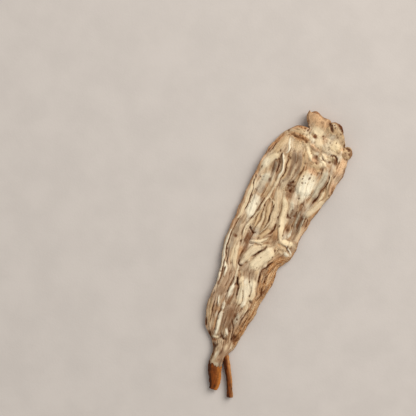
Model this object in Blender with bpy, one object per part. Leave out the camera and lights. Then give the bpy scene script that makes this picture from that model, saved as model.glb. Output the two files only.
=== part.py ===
"""Angelica root: one dried, pressed slice, cut lengthwise, with its crown and two rootlets.

The slice lies on its back with its cut face up. Its frame has +Y towards the crown, +X to the right of
the cut face and +Z up. The origin is under the middle of the slice, on the surface that it lies on.

The slice grew as one piece and is one solid. A flat slab is shaped by three formulas: the outline, the
cut face with its strands, furrows and scars, and the underside with its shallow ridges. The knobs of the
crown and the two rootlets are shaped on their own and joined to it.
"""

from dataclasses import dataclass

import bmesh
import bpy
import numpy as np

MM = 0.001

# Driving dimensions of the slice, in millimetres
SHEET_THICKNESS = 3.6
CROWN_THICKNESS = 6.3
TAIL_THICKNESS = 2.9
RIM_THICKNESS = 1.7
RIM_ROUNDING = 0.45
RIM_SLOPE = 2.6
CROWN_START = 38.0
CROWN_FULL = 62.0
TAIL_START = -30.0
TAIL_FULL = -50.0

# Ribs that run the length of the cut face wherever no named strand lies on it
RIB_COUNT = 11.0
RIB_HEIGHT = 0.75
RIM_RELIEF = 0.35
STRAND_END_FULLNESS = 0.6

# The crown's own relief takes over from the ribs between these two places
LUMPS_START = 50.0
LUMPS_FULL = 57.0

# Underside: shallow ridges, and the flat pressed patch under the middle that carries the weight
UNDER_RIB_COUNT = 7.0
UNDER_RIB_HEIGHT = 0.9
UNDER_SINK = 0.12
PATCH_CENTRE = (-1.0, 12.0)
PATCH_RADIUS = 8.0
PATCH_BLEND = 3.0
PATCH_WANDER = 1.2
RIM_LIFT = 0.7
RIM_LIFT_WIDTH = 2.0
THINNEST = 1.3
PRESSED_FLAT = 0.02

# Warp of the dried sheet: two low arches, from the patch to the crown and to the tail, and curled rims
CROWN_ARCH = (1.3, 23.0, 62.0)
TAIL_ARCH = (1.4, 1.0, -50.0)
LEFT_CURL = 1.1
RIGHT_CURL = 0.7
CURL_POWER = 4.0

# The slab's grid before it is thinned, and the triangles that are kept
COLUMNS = 96
ROWS = 340
KEPT_TRIANGLES = 10800

# The tongue at the tail is lifted a little, because the stub passes under it
TONGUE_LIFT = 1.8
TONGUE_START = -50.0
TONGUE_FULL = -60.0

# Outline of the slab without its knobs, from tail to crown, as (x, y)
LEFT_EDGE = (
    (2.2, -64.8), (0.6, -62.6), (-0.7, -60.0), (-1.0, -57.5), (-1.7, -54.5), (-4.4, -51.2),
    (-7.2, -49.0), (-9.6, -46.5), (-11.8, -42.5), (-13.3, -37.5), (-14.0, -33.0), (-13.9, -27.0),
    (-14.8, -20.5), (-16.2, -14.5), (-18.2, -8.5), (-19.3, -4.0), (-19.8, 2.0), (-19.9, 10.0),
    (-20.4, 20.0), (-20.5, 30.0), (-20.2, 41.0), (-19.6, 47.5), (-18.2, 52.8), (-16.4, 57.4),
    (-14.2, 61.0), (-11.6, 63.8), (-9.0, 65.2),
)
RIGHT_EDGE = (
    (4.2, -64.8), (5.6, -62.8), (6.1, -60.0), (5.9, -57.0), (6.8, -54.8), (8.0, -52.0),
    (8.8, -49.0), (9.2, -44.0), (9.6, -38.5), (10.4, -31.0), (10.2, -25.0), (10.9, -19.5),
    (11.8, -14.5), (11.2, -9.0), (10.9, -5.0), (12.6, -1.5), (14.6, 2.0), (15.0, 7.0),
    (14.4, 12.0), (15.0, 17.5), (15.6, 22.0), (16.2, 27.5), (17.6, 33.5), (18.8, 39.5),
    (19.6, 45.5), (20.3, 51.0), (20.4, 55.0), (19.4, 58.5), (18.0, 61.5), (14.2, 65.2),
)


@dataclass(frozen=True)
class Strand:
    """A raised strand of the cut face: half its width, the height of its crest and its path."""

    half_width: float
    crest: float
    path: tuple


@dataclass(frozen=True)
class Crevice:
    """A narrow groove: half its width, its depth and its path."""

    half_width: float
    depth: float
    path: tuple


@dataclass(frozen=True)
class Knob:
    """A knob of the crown: its centre, its lowest and highest z, and its outline as (x, y)."""

    centre: tuple
    low: float
    high: float
    outline: tuple


@dataclass(frozen=True)
class Wave:
    """A slow wave over the slice: its height, its rates in radians per millimetre and its phase."""

    height: float
    x_rate: float
    y_rate: float
    phase: float


@dataclass(frozen=True)
class Swelling:
    """A round swelling: its height, its centre and the radius where it has nearly died away."""

    height: float
    x: float
    y: float
    radius: float


LEFT_WEAR = (Wave(0.15, 0.0, 0.74, 0.4), Wave(0.13, 0.0, 2.31, 1.1), Wave(0.07, 0.0, 3.3, 2.0))
RIGHT_WEAR = (Wave(0.15, 0.0, 0.62, 2.2), Wave(0.13, 0.0, 2.04, 0.3), Wave(0.07, 0.0, 2.9, 1.0))
RIB_BEND = (Wave(0.35, 0.0, 0.11, 1.3), Wave(0.22, 0.2, 0.27, 0.0))
CROWN_LUMPS = (Wave(0.13, 1.6, -0.3, 0.0), Wave(0.13, 0.6, 1.5, 1.6), Wave(0.08, 2.3, 1.9, 0.7))
CROWN_SWELLINGS = (Swelling(1.0, 8.5, 61.0, 4.7), Swelling(0.8, 0.5, 60.5, 3.7))
UNDER_WAVES = (Wave(0.2, 0.3, 0.21, 0.0), Wave(0.1, 0.7, 0.55, 2.0))
KNOB_WRINKLES = (Wave(0.13, 0.8, 1.2, 0.0), Wave(0.12, 1.8, -0.4, 1.0), Wave(0.12, 1.4, 2.1, 0.0))
ROOTLET_SIDE_WRINKLES = (Wave(0.14, 0.0, 1.7, 0.0), Wave(0.06, 0.0, 3.4, 1.2))
ROOTLET_TOP_WRINKLES = (Wave(0.1, 1.9, 1.3, 0.0), Wave(0.06, 3.1, 2.2, 0.5))

STRANDS = (
    # rolled left rim and shoulder
    Strand(1.1, 1.0, ((-15.0, 59.4), (-16.9, 55.4), (-18.4, 50.6), (-19.1, 45.5), (-19.3, 40.5))),
    Strand(1.2, 1.1, ((-19.3, 37.5), (-19.2, 31.0), (-19.1, 24.0), (-19.0, 17.0), (-18.6, 9.0),
                      (-18.8, 3.0), (-18.4, -3.0), (-17.2, -8.5), (-15.5, -14.5), (-14.1, -19.5),
                      (-13.2, -25.0))),
    Strand(1.5, 1.1, ((-12.8, 57.2), (-13.6, 53.0), (-15.0, 48.8), (-16.0, 45.0), (-17.6, 41.0))),
    Strand(1.9, 1.5, ((-13.2, 48.0), (-15.0, 44.5), (-17.2, 40.6), (-18.4, 36.6))),
    Strand(2.6, 1.3, ((-12.0, 61.8), (-8.6, 61.8), (-5.4, 62.4))),
    Strand(2.5, 1.3, ((-8.6, 57.0), (-6.8, 53.8), (-5.8, 50.8))),
    # long strands of the left half
    Strand(2.5, 1.7, ((-14.0, 37.0), (-14.4, 32.0), (-14.4, 26.0), (-14.1, 20.0), (-13.4, 15.5))),
    Strand(1.4, 1.2, ((-14.6, 16.0), (-15.0, 10.0), (-14.6, 4.0), (-14.2, -2.0), (-13.0, -7.5),
                      (-11.2, -12.5))),
    Strand(1.1, 2.0, ((-12.2, 47.8), (-10.6, 45.2), (-9.0, 42.2), (-8.4, 39.0), (-8.5, 35.5),
                      (-8.8, 31.0), (-9.0, 27.0), (-9.7, 23.0), (-10.4, 18.5), (-11.0, 14.0),
                      (-11.8, 9.5))),
    Strand(1.3, 1.2, ((-7.2, 51.5), (-6.0, 48.0), (-4.6, 43.5), (-4.6, 39.0), (-5.0, 35.5))),
    Strand(1.4, 1.2, ((-4.6, 52.5), (-3.4, 48.5), (-2.2, 44.0), (-2.2, 40.0))),
    Strand(1.4, 1.4, ((-3.2, 57.0), (-1.4, 54.6), (0.8, 52.2), (3.6, 50.4))),
    # broad tongue below the crown, and its neighbours
    Strand(4.4, 2.1, ((5.0, 46.0), (5.0, 41.5), (5.4, 37.0), (6.4, 33.2))),
    Strand(1.3, 1.3, ((11.2, 50.0), (12.4, 46.5), (12.0, 42.0), (11.6, 38.0))),
    Strand(1.2, 1.2, ((15.6, 48.0), (16.0, 42.0), (15.6, 36.0))),
    Strand(1.3, 1.1, ((18.2, 49.0), (18.2, 44.0), (17.6, 39.0))),
    Strand(2.3, 1.3, ((17.0, 57.5), (17.6, 53.0), (17.0, 48.5))),
    Strand(2.1, 1.4, ((17.0, 35.5), (15.4, 31.0), (13.8, 27.0), (12.4, 24.6))),
    Strand(1.3, 1.1, ((14.4, 24.5), (14.2, 21.0), (13.4, 16.5), (12.6, 12.5))),
    # strands of the middle
    Strand(2.2, 1.3, ((-5.4, 33.0), (-4.4, 29.0), (-3.0, 24.5), (-1.8, 20.0), (-1.5, 15.5),
                      (-2.2, 11.0))),
    Strand(1.7, 2.0, ((-2.2, 29.0), (-0.2, 26.2), (1.0, 22.8), (2.0, 19.0), (3.0, 15.5), (4.4, 12.0),
                      (6.0, 9.2))),
    Strand(1.7, 1.1, ((4.6, 29.0), (5.2, 25.0), (5.6, 20.5), (6.4, 16.0))),
    Strand(1.4, 1.0, ((8.2, 28.4), (8.6, 24.5), (9.4, 20.0), (9.8, 15.5))),
    Strand(2.4, 1.4, ((6.0, 9.4), (9.4, 8.8), (12.0, 9.2))),
    Strand(2.0, 1.7, ((9.6, 4.6), (11.8, 4.2), (12.8, 3.8))),
    # the fold shaped like a leaf
    Strand(1.1, 1.7, ((-8.4, 25.6), (-6.4, 23.6), (-5.0, 20.0), (-4.0, 16.0), (-3.8, 12.0),
                      (-4.8, 8.6), (-6.6, 6.8))),
    Strand(1.2, 1.6, ((-7.8, 22.4), (-6.9, 18.5), (-6.6, 14.5), (-6.8, 10.5), (-7.4, 8.0))),
    Strand(1.2, 1.5, ((-9.2, 20.5), (-9.2, 16.0), (-8.9, 12.0), (-8.6, 8.6))),
    Strand(1.6, 1.2, ((-1.2, 12.0), (-2.4, 8.4), (-4.4, 5.4), (-7.0, 4.2))),
    # slanting bars of the waist
    Strand(2.0, 1.9, ((-1.6, 4.2), (-4.0, 0.8), (-6.0, -2.8), (-7.4, -6.4), (-7.6, -9.0))),
    Strand(2.8, 2.1, ((4.4, 3.0), (2.4, -1.4), (0.4, -5.4), (-1.2, -9.4), (-1.6, -12.5))),
    Strand(1.3, 1.3, ((-12.4, 6.6), (-12.2, 1.0), (-12.2, -4.5), (-11.2, -9.6), (-9.2, -13.6),
                      (-7.4, -16.0))),
    # long strands of the lower half
    Strand(1.4, 1.0, ((-11.6, -14.0), (-10.8, -20.0), (-11.0, -26.0), (-11.4, -32.0), (-10.6, -38.0))),
    Strand(1.2, 1.7, ((-6.4, -22.5), (-6.1, -28.0), (-5.7, -34.0), (-5.0, -39.5), (-4.0, -44.5),
                      (-3.8, -48.5))),
    Strand(1.3, 1.6, ((-5.0, -15.0), (-3.0, -19.0), (-1.2, -23.5), (-0.2, -28.5))),
    Strand(1.5, 1.6, ((-2.4, -13.5), (-0.2, -17.5), (1.4, -22.0), (2.6, -27.5), (2.8, -34.0),
                      (2.8, -37.0))),
    Strand(1.5, 1.6, ((0.8, -11.5), (2.8, -15.0), (4.4, -19.0), (5.2, -24.0), (5.4, -30.0))),
    Strand(1.6, 1.0, ((-3.6, -29.0), (-3.0, -34.0), (-1.6, -39.5), (-1.2, -43.0))),
    Strand(1.1, 1.3, ((0.4, -42.4), (1.2, -45.0), (2.6, -47.4))),
    # bark along the lower right
    Strand(1.6, 1.3, ((12.0, 0.6), (9.6, -1.4), (7.6, -4.5), (6.2, -8.0), (6.0, -11.5))),
    Strand(1.6, 1.4, ((9.4, -4.6), (8.8, -9.0), (8.8, -14.0), (9.0, -19.0), (8.6, -24.0),
                      (8.4, -30.0), (7.8, -37.0), (7.4, -44.0), (7.0, -50.0))),
    # the tongue at the tail
    Strand(2.0, 1.2, ((1.0, -50.0), (1.6, -54.5), (2.2, -59.0), (3.2, -63.0))),
    Strand(1.6, 1.1, ((4.2, -50.0), (4.3, -54.5), (4.6, -59.0), (4.4, -62.5))),
)

CREVICES = (
    Crevice(0.9, 1.3, ((-0.6, 48.0), (1.4, 48.3))),
    Crevice(0.7, 0.9, ((9.2, 51.5), (9.4, 48.0), (9.6, 44.6))),
    Crevice(0.7, 1.0, ((13.1, 39.5), (12.9, 36.0), (12.2, 32.0))),
    Crevice(0.9, 1.1, ((10.4, 56.4), (11.8, 58.0), (13.4, 57.2), (14.6, 55.0), (15.0, 52.0))),
    Crevice(0.7, 0.9, ((0.8, 54.6), (4.0, 56.2), (7.0, 55.6), (10.2, 54.4), (11.2, 53.0))),
    Crevice(0.8, 1.0, ((-12.8, 46.6), (-11.6, 43.4), (-10.8, 40.0), (-10.4, 36.2))),
    Crevice(0.7, 0.9, ((-2.6, 53.0), (-0.9, 49.5), (0.0, 45.5), (0.0, 41.0))),
    Crevice(0.8, 1.2, ((0.0, 15.6), (0.2, 11.5), (-0.9, 8.4), (-2.0, 7.3))),
    Crevice(0.9, 1.5, ((-11.4, 8.8), (-10.2, 6.9), (-8.6, 6.0), (-6.8, 6.2))),
    Crevice(0.7, 1.5, ((1.6, 2.8), (-0.4, 0.0), (-2.5, -3.0), (-4.2, -6.2), (-5.5, -9.0))),
    Crevice(0.8, 1.3, ((-9.7, -5.5), (-9.1, -9.4), (-7.4, -11.3), (-5.7, -10.4))),
    Crevice(0.8, 1.2, ((7.0, -3.5), (4.6, -7.0), (3.3, -10.5), (4.4, -14.5), (6.0, -19.0))),
    Crevice(0.7, 1.3, ((-7.0, -17.0), (-5.2, -19.4), (-3.6, -22.6), (-2.4, -25.6), (-1.9, -28.2))),
    Crevice(0.7, 1.1, ((0.6, -38.2), (2.6, -40.2), (3.7, -42.2), (3.8, -44.4))),
    Crevice(0.8, 1.2, ((-1.2, -45.6), (0.0, -47.9), (1.8, -48.6), (4.8, -48.0))),
    Crevice(0.7, 1.0, ((6.2, -29.0), (5.6, -35.0), (5.2, -40.0))),
)

TAN_KNOB = Knob((-3.0, 67.6), 0.5, 7.3, (
    (-9.1, 73.3), (-9.3, 71.0), (-8.3, 68.6), (-6.8, 66.6), (-5.3, 65.0), (-4.6, 61.5), (-0.5, 60.0),
    (3.4, 62.5), (4.2, 68.0), (3.3, 72.2), (0.6, 73.2), (-1.0, 72.9), (-2.8, 73.2), (-4.2, 74.0),
    (-5.8, 74.3), (-7.2, 73.3), (-8.1, 72.8),
))
RING_KNOB = Knob((8.2, 67.0), 0.6, 8.0, (
    (3.0, 71.9), (4.6, 73.0), (6.5, 73.4), (8.2, 73.2), (9.6, 72.3), (11.0, 70.2), (12.2, 68.2),
    (13.7, 66.2), (14.8, 64.4), (14.6, 61.0), (8.0, 59.0), (3.0, 61.5), (2.0, 67.5),
))
SIDE_KNOB = Knob((17.3, 61.9), 1.2, 6.2, (
    (15.0, 64.4), (16.6, 65.0), (17.7, 64.9), (18.9, 64.0), (19.7, 62.6), (19.9, 61.0), (19.2, 59.4),
    (17.0, 58.4), (14.6, 59.6), (14.2, 62.0),
))
KNOB_TOP_SHARPNESS = 0.5
KNOB_SIDE_SHARPNESS = 0.62
RING_CENTRE = (6.6, 69.6)
RING_RADIUS = 3.1
RING_HEIGHT = 0.5
RING_WIDTH = 0.8
RING_DIP_RADIUS = 1.6
RING_FADE = 2.5

# Rootlets as (x, y, z, radius), from under the tongue outwards
STUB_PATH = (
    (2.2, -52.5, 1.9, 1.1), (2.3, -57.5, 2.4, 2.5), (3.0, -62.0, 2.5, 3.5), (5.0, -66.5, 2.4, 3.3),
    (6.9, -70.5, 2.3, 2.7), (7.5, -73.9, 2.1, 2.1),
)
STUB_FLATNESS = 0.66
THIN_PATH = (
    (3.0, -51.0, 2.0, 1.4), (4.9, -54.0, 1.9, 1.5), (6.2, -56.0, 1.8, 1.5), (8.2, -59.2, 1.8, 1.6),
    (10.6, -62.6, 1.8, 1.55), (12.9, -66.2, 2.0, 1.5), (14.8, -69.6, 2.0, 1.5),
    (16.2, -72.2, 1.9, 1.6), (16.9, -74.0, 1.9, 1.75),
)
THIN_FLATNESS = 0.86
ROOTLET_CLEARANCE = 0.15
WELD_DISTANCE = 0.0001
SLIVER = 0.005

SLICE_COLOUR = (0.72, 0.58, 0.40, 1.0)
SLICE_ROUGHNESS = 0.82


def clear_scene():
    """Remove the objects that the scene starts with."""
    for obj in list(bpy.data.objects):
        bpy.data.objects.remove(obj, do_unlink=True)


def smooth_step(value, start, end):
    """0 before start, 1 after end, with a smooth rise between them."""
    t = np.clip((value - start) / (end - start), 0.0, 1.0)
    return t * t * (3.0 - 2.0 * t)


def smooth_path(points, steps=8):
    """Catmull-Rom curve through the points, as an array with steps samples a span."""
    given = np.array(points, dtype=float)
    padded = np.vstack([2.0 * given[0] - given[1], given, 2.0 * given[-1] - given[-2]])
    t = np.linspace(0.0, 1.0, steps, endpoint=False)[:, None]
    spans = []
    for before, start, end, after in zip(padded[:-3], padded[1:-2], padded[2:-1], padded[3:]):
        spans.append(0.5 * (2.0 * start + (end - before) * t
                            + (2.0 * before - 5.0 * start + 4.0 * end - after) * t ** 2
                            + (3.0 * start - before - 3.0 * end + after) * t ** 3))
    return np.vstack(spans + [given[-1:]])


LEFT_CURVE = smooth_path(LEFT_EDGE)
RIGHT_CURVE = smooth_path(RIGHT_EDGE)
TAIL_END = LEFT_EDGE[0][1]
CROWN_END = LEFT_EDGE[-1][1]
CROWN_OVERRUN = 4.0


def ripple(x, y, waves):
    """Sum of the waves at each (x, y)."""
    return sum(wave.height * np.sin(wave.x_rate * x + wave.y_rate * y + wave.phase) for wave in waves)


def swell(x, y, swellings):
    """Sum of the round swellings at each (x, y)."""
    return sum(one.height * np.exp(-((x - one.x) ** 2 + (y - one.y) ** 2) / one.radius ** 2)
               for one in swellings)


def edges_at(y):
    """The outline's left and right x at each y."""
    left = np.interp(y, LEFT_CURVE[:, 1], LEFT_CURVE[:, 0])
    right = np.interp(y, RIGHT_CURVE[:, 1], RIGHT_CURVE[:, 0])
    return left + ripple(0.0, y, LEFT_WEAR), right + ripple(0.0, y, RIGHT_WEAR)


def across_at(x, y):
    """Where x lies between the outline's sides, from 0 at the left to 1 at the right."""
    left, right = edges_at(y)
    return (x - left) / (right - left)


def nearest_on_path(x, y, points):
    """Distance of each (x, y) to the path, and how far along it that is, from 0 to 1."""
    path = smooth_path(points, steps=5)
    best = np.full(x.shape, np.inf)
    along = np.zeros(x.shape)
    lengths = np.hypot(*np.diff(path, axis=0).T)
    run = np.concatenate([[0.0], np.cumsum(lengths)])
    for (ax, ay), (bx, by), start, length in zip(path[:-1], path[1:], run[:-1], lengths):
        t = np.clip(((x - ax) * (bx - ax) + (y - ay) * (by - ay)) / length ** 2, 0.0, 1.0)
        distance = np.hypot(x - ax - t * (bx - ax), y - ay - t * (by - ay))
        closer = distance < best
        best = np.where(closer, distance, best)
        along = np.where(closer, (start + t * length) / run[-1], along)
    return best, along


def rounded_stripes(phase):
    """Side by side half-round ribs, one for each whole step of the phase, from 0 to 1 high."""
    across = 2.0 * (phase - np.floor(phase)) - 1.0
    return np.sqrt(np.clip(1.0 - across ** 2, 0.0, 1.0))


def body_thickness(y):
    """Thickness of the sheet along the slice: thin at the tail, thick in the crown."""
    tail = smooth_step(y, TAIL_START, TAIL_FULL)
    crown = smooth_step(y, CROWN_START, CROWN_FULL)
    return (SHEET_THICKNESS + (TAIL_THICKNESS - SHEET_THICKNESS) * tail
            + (CROWN_THICKNESS - SHEET_THICKNESS) * crown)


def rim_distance(x, y):
    """Distance in from the outline, near enough for a slope."""
    left, right = edges_at(y)
    sides = np.minimum(x - left, right - x)
    ends = np.minimum(y - TAIL_END, CROWN_END + CROWN_OVERRUN - y)
    return np.clip(np.minimum(sides, ends), 0.0, None)


def arch(y, height, start, end):
    """A smooth rise and fall between start and end, level at both."""
    t = np.clip((y - start) / (end - start), 0.0, 1.0)
    return height * np.sin(np.pi * t) ** 2


def patch_freedom(x, y):
    """0 on the pressed patch, whose outline wanders a little, and 1 away from it."""
    east = x - PATCH_CENTRE[0]
    north = y - PATCH_CENTRE[1]
    bearing = np.arctan2(north, east)
    radius = PATCH_RADIUS + PATCH_WANDER * np.sin(3.0 * bearing + 0.8)
    return smooth_step(np.hypot(east, north), radius, radius + PATCH_BLEND)


def sheet_warp(x, y):
    """Rise of the whole sheet: its two arches, the curl of its rims and the tongue over the stub."""
    across = np.clip(across_at(x, y), 0.0, 1.0)
    curl = LEFT_CURL * (1.0 - across) ** CURL_POWER + RIGHT_CURL * across ** CURL_POWER
    waist = smooth_step(y, TAIL_FULL, TAIL_START) * (1.0 - smooth_step(y, LUMPS_START, LUMPS_FULL))
    tongue = TONGUE_LIFT * smooth_step(-y, -TONGUE_START, -TONGUE_FULL)
    return (arch(y, *CROWN_ARCH) + arch(y, *TAIL_ARCH) + curl * waist) * patch_freedom(x, y) + tongue


def flow_ribs(x, y, count):
    """Ribs that follow the outline: stripes of the width fraction, bent by slow waves."""
    return rounded_stripes(count * across_at(x, y) + ripple(x, y, RIB_BEND))


def cut_face(x, y):
    """Height of the cut face: sheet, ribs, strands and crown swellings, less the crevices."""
    inner = 1.0 - np.exp(-rim_distance(x, y) / RIM_SLOPE)
    base = RIM_THICKNESS + (body_thickness(y) - RIM_THICKNESS) * inner
    in_crown = smooth_step(y, LUMPS_START, LUMPS_FULL)
    raised = RIB_HEIGHT * flow_ribs(x, y, RIB_COUNT) * (1.0 - in_crown)
    for strand in STRANDS:
        distance, along = nearest_on_path(x, y, strand.path)
        round_top = np.sqrt(np.clip(1.0 - (distance / strand.half_width) ** 2, 0.0, 1.0))
        fullness = STRAND_END_FULLNESS + (1.0 - STRAND_END_FULLNESS) * np.sin(np.pi * along)
        raised = np.maximum(raised, strand.crest * fullness * round_top)
    lumps = swell(x, y, CROWN_SWELLINGS) + ripple(x, y, CROWN_LUMPS)
    height = base + raised * (RIM_RELIEF + (1.0 - RIM_RELIEF) * inner) + lumps * in_crown * inner
    for crevice in CREVICES:
        distance, _ = nearest_on_path(x, y, crevice.path)
        height = height - crevice.depth * np.exp(-(distance / crevice.half_width) ** 2)
    return height + sheet_warp(x, y)


def underside(x, y):
    """Height of the underside: shallow ridges over a flat patch, under the warp of the sheet."""
    lift = RIM_LIFT * np.exp(-rim_distance(x, y) / RIM_LIFT_WIDTH)
    furrows = UNDER_RIB_HEIGHT * (1.0 - flow_ribs(x, y, UNDER_RIB_COUNT))
    raised = lift + furrows + ripple(x, y, UNDER_WAVES) - UNDER_SINK
    return np.maximum(raised * patch_freedom(x, y) + sheet_warp(x, y), 0.0)


def unit_slab():
    """A flat closed slab, a grid over -1 to 1 extruded by 1, with a ring round the middle of its wall."""
    slab = bmesh.new()
    bmesh.ops.create_grid(slab, x_segments=COLUMNS, y_segments=ROWS, size=1.0)
    lower = slab.faces[:]
    bmesh.ops.reverse_faces(slab, faces=lower)
    grown = bmesh.ops.extrude_face_region(slab, geom=lower, use_keep_orig=True)
    upper = [item for item in grown["geom"] if isinstance(item, bmesh.types.BMVert)]
    bmesh.ops.translate(slab, verts=upper, vec=(0.0, 0.0, 1.0))
    upright = [edge for edge in slab.edges if abs(edge.verts[0].co.z - edge.verts[1].co.z) > 0.5]
    bmesh.ops.subdivide_edges(slab, edges=upright, cuts=1, use_grid_fill=False)
    bmesh.ops.recalc_face_normals(slab, faces=slab.faces[:])
    return slab


def mesh_arrays(mesh):
    """The mesh's vertex coordinates as an array of three columns."""
    flat = np.empty(len(mesh.vertices) * 3)
    mesh.vertices.foreach_get("co", flat)
    return flat.reshape(-1, 3)


def put_coordinates(mesh, coordinates):
    """Write the array back into the mesh's vertices."""
    mesh.vertices.foreach_set("co", coordinates.ravel())
    mesh.update()


def build_slab(collection):
    """The slice's sheet: a unit slab carried onto the outline, the cut face and the underside."""
    mesh = bpy.data.meshes.new("slab")
    slab = unit_slab()
    slab.to_mesh(mesh)
    slab.free()
    unit = mesh_arrays(mesh)
    layer = unit[:, 2]
    inset = RIM_ROUNDING * np.abs(2.0 * layer - 1.0)
    y = TAIL_END + inset + (unit[:, 1] + 1.0) / 2.0 * (CROWN_END - TAIL_END - 2.0 * inset)
    left, right = edges_at(y)
    across = (unit[:, 0] + 1.0) / 2.0
    x = left + inset + across * (right - left - 2.0 * inset)
    low = underside(x, y)
    high = np.maximum(cut_face(x, y), low + THINNEST)
    z = low + layer * (high - low)
    put_coordinates(mesh, np.column_stack([x, y, z]) * MM)
    obj = bpy.data.objects.new("slab", mesh)
    collection.objects.link(obj)
    return obj


def build_knob(name, knob, collection):
    """A knob of the crown: a ball carried onto the knob's outline, with a flattish top and steep sides."""
    ball = bmesh.new()
    bmesh.ops.create_icosphere(ball, subdivisions=5, radius=1.0)
    mesh = bpy.data.meshes.new(name)
    ball.to_mesh(mesh)
    ball.free()
    unit = mesh_arrays(mesh)
    outline = smooth_path(knob.outline + knob.outline[:1]) - np.array(knob.centre)
    bearing = np.arctan2(outline[:, 1], outline[:, 0])
    order = np.argsort(bearing)
    reach_at = np.hypot(outline[:, 0], outline[:, 1])[order]
    turn = np.arctan2(unit[:, 1], unit[:, 0])
    reach = np.interp(turn, bearing[order], reach_at, period=2.0 * np.pi)
    outward = np.hypot(unit[:, 0], unit[:, 1]) ** KNOB_SIDE_SHARPNESS
    x = knob.centre[0] + outward * reach * np.cos(turn)
    y = knob.centre[1] + outward * reach * np.sin(turn)
    rise = np.sign(unit[:, 2]) * np.abs(unit[:, 2]) ** KNOB_TOP_SHARPNESS
    middle = (knob.low + knob.high) / 2.0
    wrinkle = ripple(x, y, KNOB_WRINKLES) * smooth_step(unit[:, 2], -0.6, 0.4)
    z = middle + rise * (knob.high - knob.low) / 2.0 + wrinkle
    put_coordinates(mesh, np.column_stack([x, y, z]) * MM)
    obj = bpy.data.objects.new(name, mesh)
    collection.objects.link(obj)
    return obj


def raise_ring(obj):
    """Raise a round scar on the knob's top: a low ring with a dip inside it."""
    placed = mesh_arrays(obj.data) / MM
    radius = np.hypot(placed[:, 0] - RING_CENTRE[0], placed[:, 1] - RING_CENTRE[1])
    ring = np.exp(-((radius - RING_RADIUS) / RING_WIDTH) ** 2) - np.exp(-(radius / RING_DIP_RADIUS) ** 2)
    on_top = smooth_step(placed[:, 2], RING_KNOB.high - RING_FADE, RING_KNOB.high - RING_HEIGHT)
    placed[:, 2] += RING_HEIGHT * ring * on_top
    put_coordinates(obj.data, placed * MM)


def build_rootlet(name, path, flatness, collection):
    """A rootlet: a tube of changing radius, flattened a little and wrinkled along its length."""
    curve = bpy.data.curves.new(name, "CURVE")
    curve.dimensions = "3D"
    curve.bevel_depth = MM
    curve.bevel_resolution = 3
    curve.use_fill_caps = True
    spline = curve.splines.new("POLY")
    route = smooth_path(path, steps=4)
    spline.points.add(len(route) - 1)
    for point, (x, y, z, radius) in zip(spline.points, route):
        point.co = (x * MM, y * MM, z * MM, 1.0)
        point.radius = radius
    tube = bpy.data.objects.new(name, curve)
    collection.objects.link(tube)
    bpy.context.view_layer.update()
    evaluated = tube.evaluated_get(bpy.context.evaluated_depsgraph_get())
    mesh = bpy.data.meshes.new_from_object(evaluated)
    welded = bmesh.new()
    welded.from_mesh(mesh)
    bmesh.ops.remove_doubles(welded, verts=welded.verts[:], dist=WELD_DISTANCE * MM)
    welded.to_mesh(mesh)
    welded.free()
    obj = bpy.data.objects.new(name, mesh)
    obj.matrix_world = tube.matrix_world
    bpy.data.objects.remove(tube, do_unlink=True)
    collection.objects.link(obj)
    placed = mesh_arrays(mesh) / MM
    middle = np.interp(-placed[:, 1], -route[:, 1], route[:, 2])
    placed[:, 2] = middle + (placed[:, 2] - middle) * flatness
    placed[:, 0] += ripple(placed[:, 2], placed[:, 1], ROOTLET_SIDE_WRINKLES)
    placed[:, 2] += ripple(placed[:, 0], placed[:, 1], ROOTLET_TOP_WRINKLES)
    placed[:, 2] = np.maximum(placed[:, 2], ROOTLET_CLEARANCE)
    put_coordinates(mesh, placed * MM)
    return obj


def freeze(obj):
    """Put the object's evaluated mesh in place of its mesh and modifiers."""
    bpy.context.view_layer.update()
    evaluated = obj.evaluated_get(bpy.context.evaluated_depsgraph_get())
    mesh = bpy.data.meshes.new_from_object(evaluated)
    obj.modifiers.clear()
    obj.data = mesh


def join_to(obj, collection):
    """Join everything in the collection to the object by one Boolean union."""
    union = obj.modifiers.new("join", "BOOLEAN")
    union.operation = "UNION"
    union.operand_type = "COLLECTION"
    union.collection = collection
    union.solver = "EXACT"
    freeze(obj)
    for operand in list(collection.objects):
        bpy.data.objects.remove(operand, do_unlink=True)
    bpy.data.collections.remove(collection)


def clean_joint(obj):
    """Weld the slivers that a union leaves along its seams, and split every face into triangles."""
    joined = bmesh.new()
    joined.from_mesh(obj.data)
    bmesh.ops.remove_doubles(joined, verts=joined.verts[:], dist=SLIVER * MM)
    bmesh.ops.dissolve_degenerate(joined, edges=joined.edges[:], dist=SLIVER * MM)
    bmesh.ops.triangulate(joined, faces=joined.faces[:])
    joined.to_mesh(obj.data)
    joined.free()


def thin_out(obj, kept):
    """Keep about the given number of triangles, with most of them where the surface bends."""
    decimate = obj.modifiers.new("thin out", "DECIMATE")
    decimate.decimate_type = "COLLAPSE"
    decimate.ratio = kept / len(obj.data.polygons)
    decimate.use_collapse_triangulate = True
    freeze(obj)


def settle(obj):
    """Lay the pressed parts of the underside exactly on the surface."""
    placed = mesh_arrays(obj.data)
    placed[:, 2] = np.where(placed[:, 2] < PRESSED_FLAT * MM, 0.0, placed[:, 2])
    put_coordinates(obj.data, placed)


def root_material():
    """Plain dried-root beige for the solid."""
    material = bpy.data.materials.new("dried_root")
    material.use_nodes = True
    shader = material.node_tree.nodes["Principled BSDF"]
    shader.inputs["Base Color"].default_value = SLICE_COLOUR
    shader.inputs["Roughness"].default_value = SLICE_ROUGHNESS
    shader.inputs["Metallic"].default_value = 0.0
    return material


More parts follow.
